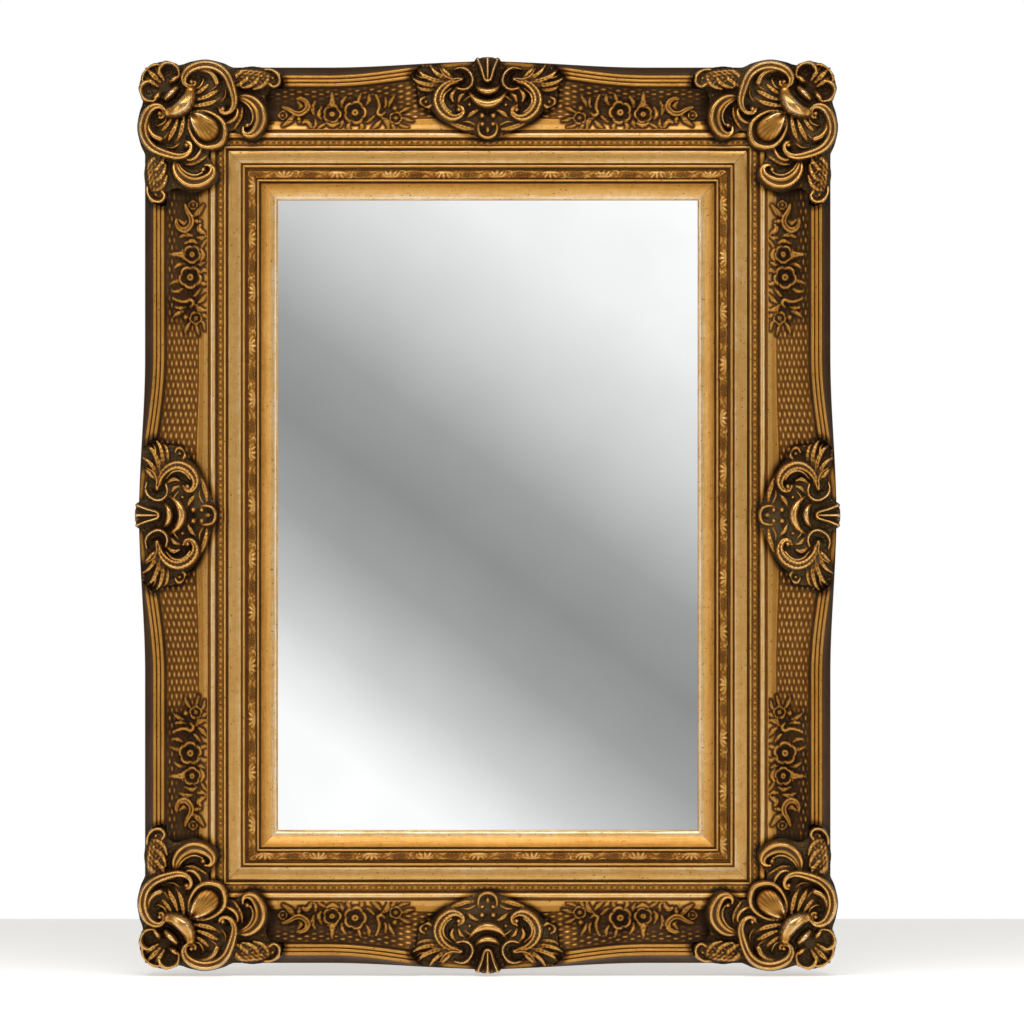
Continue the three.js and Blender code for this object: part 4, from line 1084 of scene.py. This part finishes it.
cornerShell = castingShell(cornerForms, cornerLoop, cornerUnit, casting["cell"], cornerCasting["shell"])
cornerShell["plan"] = cornerShell["plan"] + [railInner, railInner, 0]
for name, at, turn in cornerPlaces:
    total += placeShell(f"corner_{name}", cornerShell, at, turn, castingGilt)
print("all pieces", total, "triangles")

for node, material in (("mirror_plate", silveredGlass()), ("backing_board", backBoard())):
    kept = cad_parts[node]
    kept.data.materials.clear()
    kept.data.materials.append(material)
print("glass and board finished")


studio = {
    # lengths in m; the photo's scale is in mm a pixel at the sight edge, and the middle of the
    # object is in pixels from its top left
    "cameraDistance": 9.0, "imageSize": 1024, "sightScale": 1.4285, "objectPixel": (487.75, 515.25),
    "floor": "#F2F1EE", "floorGlow": 0.55, "floorDrop": 0.004,
    "floorLeft": -3.0, "floorRight": 3.0, "floorFront": -2.6, "floorBack": 1.2,
    "screenDistance": 10.0, "screenHalf": (2.2, 2.6),
    # the band in the glass: its slope as seen, how far it lies from the middle, and how bright the
    # screen is at pixels across it
    "bandSlope": (290, 398), "bandOffset": 0.063, "bandReach": 400,
    "bandGlow": [(-400, 1.05), (-280, 0.93), (-163, 0.64), (-75, 0.37), (0, 0.295), (75, 0.375), (160, 0.65),
                 (206, 0.89), (245, 1.05)],
}
pixelSize = studio["sightScale"] * toMetres


def addStage(name, points, material):
    mesh = bpy.data.meshes.new(name)
    mesh.from_pydata(points, [], [(0, 1, 2, 3)])
    mesh.materials.append(material)
    item = bpy.data.objects.new(name, mesh)
    bpy.context.scene.collection.objects.link(item)
    return item


floorFinish, tree = newMaterial("pale studio floor")
pale = linear(studio["floor"])
surface = addNode(tree, "BsdfPrincipled", {
    "Base Color": pale, "Roughness": 0.6, "Emission Color": pale, "Emission Strength": studio["floorGlow"]})
addNode(tree, "OutputMaterial", {0: surface}, output=None)
left, right, front, back = (studio[k] for k in ("floorLeft", "floorRight", "floorFront", "floorBack"))
low = cadLow.z - studio["floorDrop"]
addStage("floor", [(left, front, low), (right, front, low), (right, back, low), (left, back, low)],
         floorFinish)

# What the glass reflects: a big soft screen behind the camera, bright at the top and at the lower
# left, with a grey band slanting between them.
screenFinish, tree = newMaterial("soft screen")
place = addNode(tree, "TexCoord", output="Object")
slant = math.atan2(*studio["bandSlope"])
across = addNode(tree, "VectorMath", {0: place, 1: (-math.sin(slant), 0.0, -math.cos(slant))},
                 operation="DOT_PRODUCT", output="Value")
# Seen in the glass, the screen is as far off as the way from the camera to the glass and on to it.
screenScale = (studio["cameraDistance"] + studio["screenDistance"]) / studio["cameraDistance"]
bandReach, bandMiddle = studio["bandReach"] * pixelSize * screenScale, studio["bandOffset"] * screenScale
spread = addNode(tree, "MapRange", {"Value": across, "From Min": bandMiddle - bandReach,
                                    "From Max": bandMiddle + bandReach})
glow = addNode(tree, "ValToRGB", {0: spread},
               [((q / studio["bandReach"] + 1) / 2, value) for q, value in studio["bandGlow"]])
emission = addNode(tree, "Emission", {"Color": glow, "Strength": 1.0})
addNode(tree, "OutputMaterial", {0: emission}, output=None)
halfX, halfZ = studio["screenHalf"]
behind = -studio["screenDistance"]
screen = addStage("screen", [(-halfX, behind, -halfZ), (halfX, behind, -halfZ), (halfX, behind, halfZ),
                             (-halfX, behind, halfZ)], screenFinish)
screen.visible_camera = False
screen.visible_shadow = False

# The air is white to look at. As light it is dim and nearly even all round, and brighter from above.
air = {"colour": "#FFFFFF", "sideways": [(0.0, 0.18), (0.45, 0.19), (0.8, 0.19), (1.0, 0.20)],
       "below": 0.45, "above": 1.45}
world = bpy.data.worlds.new("studio air")
bpy.context.scene.world = world
world.use_nodes = True
tree = world.node_tree
direction = addNode(tree, "TexCoord", output="Generated")
axes = addNode(tree, "SeparateXYZ", {0: direction}, output=None)
sideways = addNode(tree, "Math", {0: axes.outputs["X"]}, operation="ABSOLUTE")
fromSides = addNode(tree, "ValToRGB", {0: sideways}, air["sideways"])
upward = addNode(tree, "MapRange", {"Value": axes.outputs["Z"], "From Min": -1.0,
                                    "To Min": air["below"], "To Max": air["above"]})
airLight = addNode(tree, "Math", {0: fromSides, 1: upward}, operation="MULTIPLY")
seen = addNode(tree, "LightPath", output="Is Camera Ray")
strength = addNode(tree, "Math", {0: seen, 1: airLight}, operation="MAXIMUM")
background = tree.nodes["Background"]
tree.links.new(strength, background.inputs["Strength"])
background.inputs["Color"].default_value = linear(air["colour"])

lights = {
    "left softbox": {"at": (-2.3, -1.5, 0.3), "size": (0.5, 1.2), "power": 11},
    "right softbox": {"at": (2.3, -1.5, 0.3), "size": (0.5, 1.2), "power": 11},
    "overhead softbox": {"at": (0.0, -2.2, 2.1), "size": (2.4, 0.9), "power": 15},
    "floor light": {"at": (0.0, -1.1, 1.5), "size": (3.0, 1.0), "power": 30, "aim": (0.0, -0.15, -1.0)},
}
for name, values in lights.items():
    data = bpy.data.lights.new(name, "AREA")
    data.shape = "RECTANGLE"
    data.size, data.size_y = values["size"]
    data.energy = values["power"]
    lamp = bpy.data.objects.new(name, data)
    lamp.location = values["at"]
    # Without an aim of its own a light looks at the origin.
    aim = Vector(values.get("aim", [-part for part in values["at"]]))
    lamp.rotation_mode = "QUATERNION"
    lamp.rotation_quaternion = aim.to_track_quat("-Z", "Y")
    bpy.context.scene.collection.objects.link(lamp)

bpy.context.scene.view_settings.view_transform = "Standard"
print("studio ready")

camera = bpy.data.cameras.new("camera")
camera.sensor_width = 36.0
sightPlane = liner["sightHeight"] * toMetres
shownWidth = studio["imageSize"] * pixelSize
camera.lens = camera.sensor_width * (studio["cameraDistance"] - sightPlane) / shownWidth
camera.clip_end = 60
eye = bpy.data.objects.new("camera", camera)
middle = studio["imageSize"] / 2
eye.location = ((middle - studio["objectPixel"][0]) * pixelSize, -studio["cameraDistance"],
                (studio["objectPixel"][1] - middle) * pixelSize)
eye.rotation_euler = (quarter, 0, 0)
bpy.context.scene.collection.objects.link(eye)
bpy.context.scene.camera = eye

bpy.context.view_layer.update()
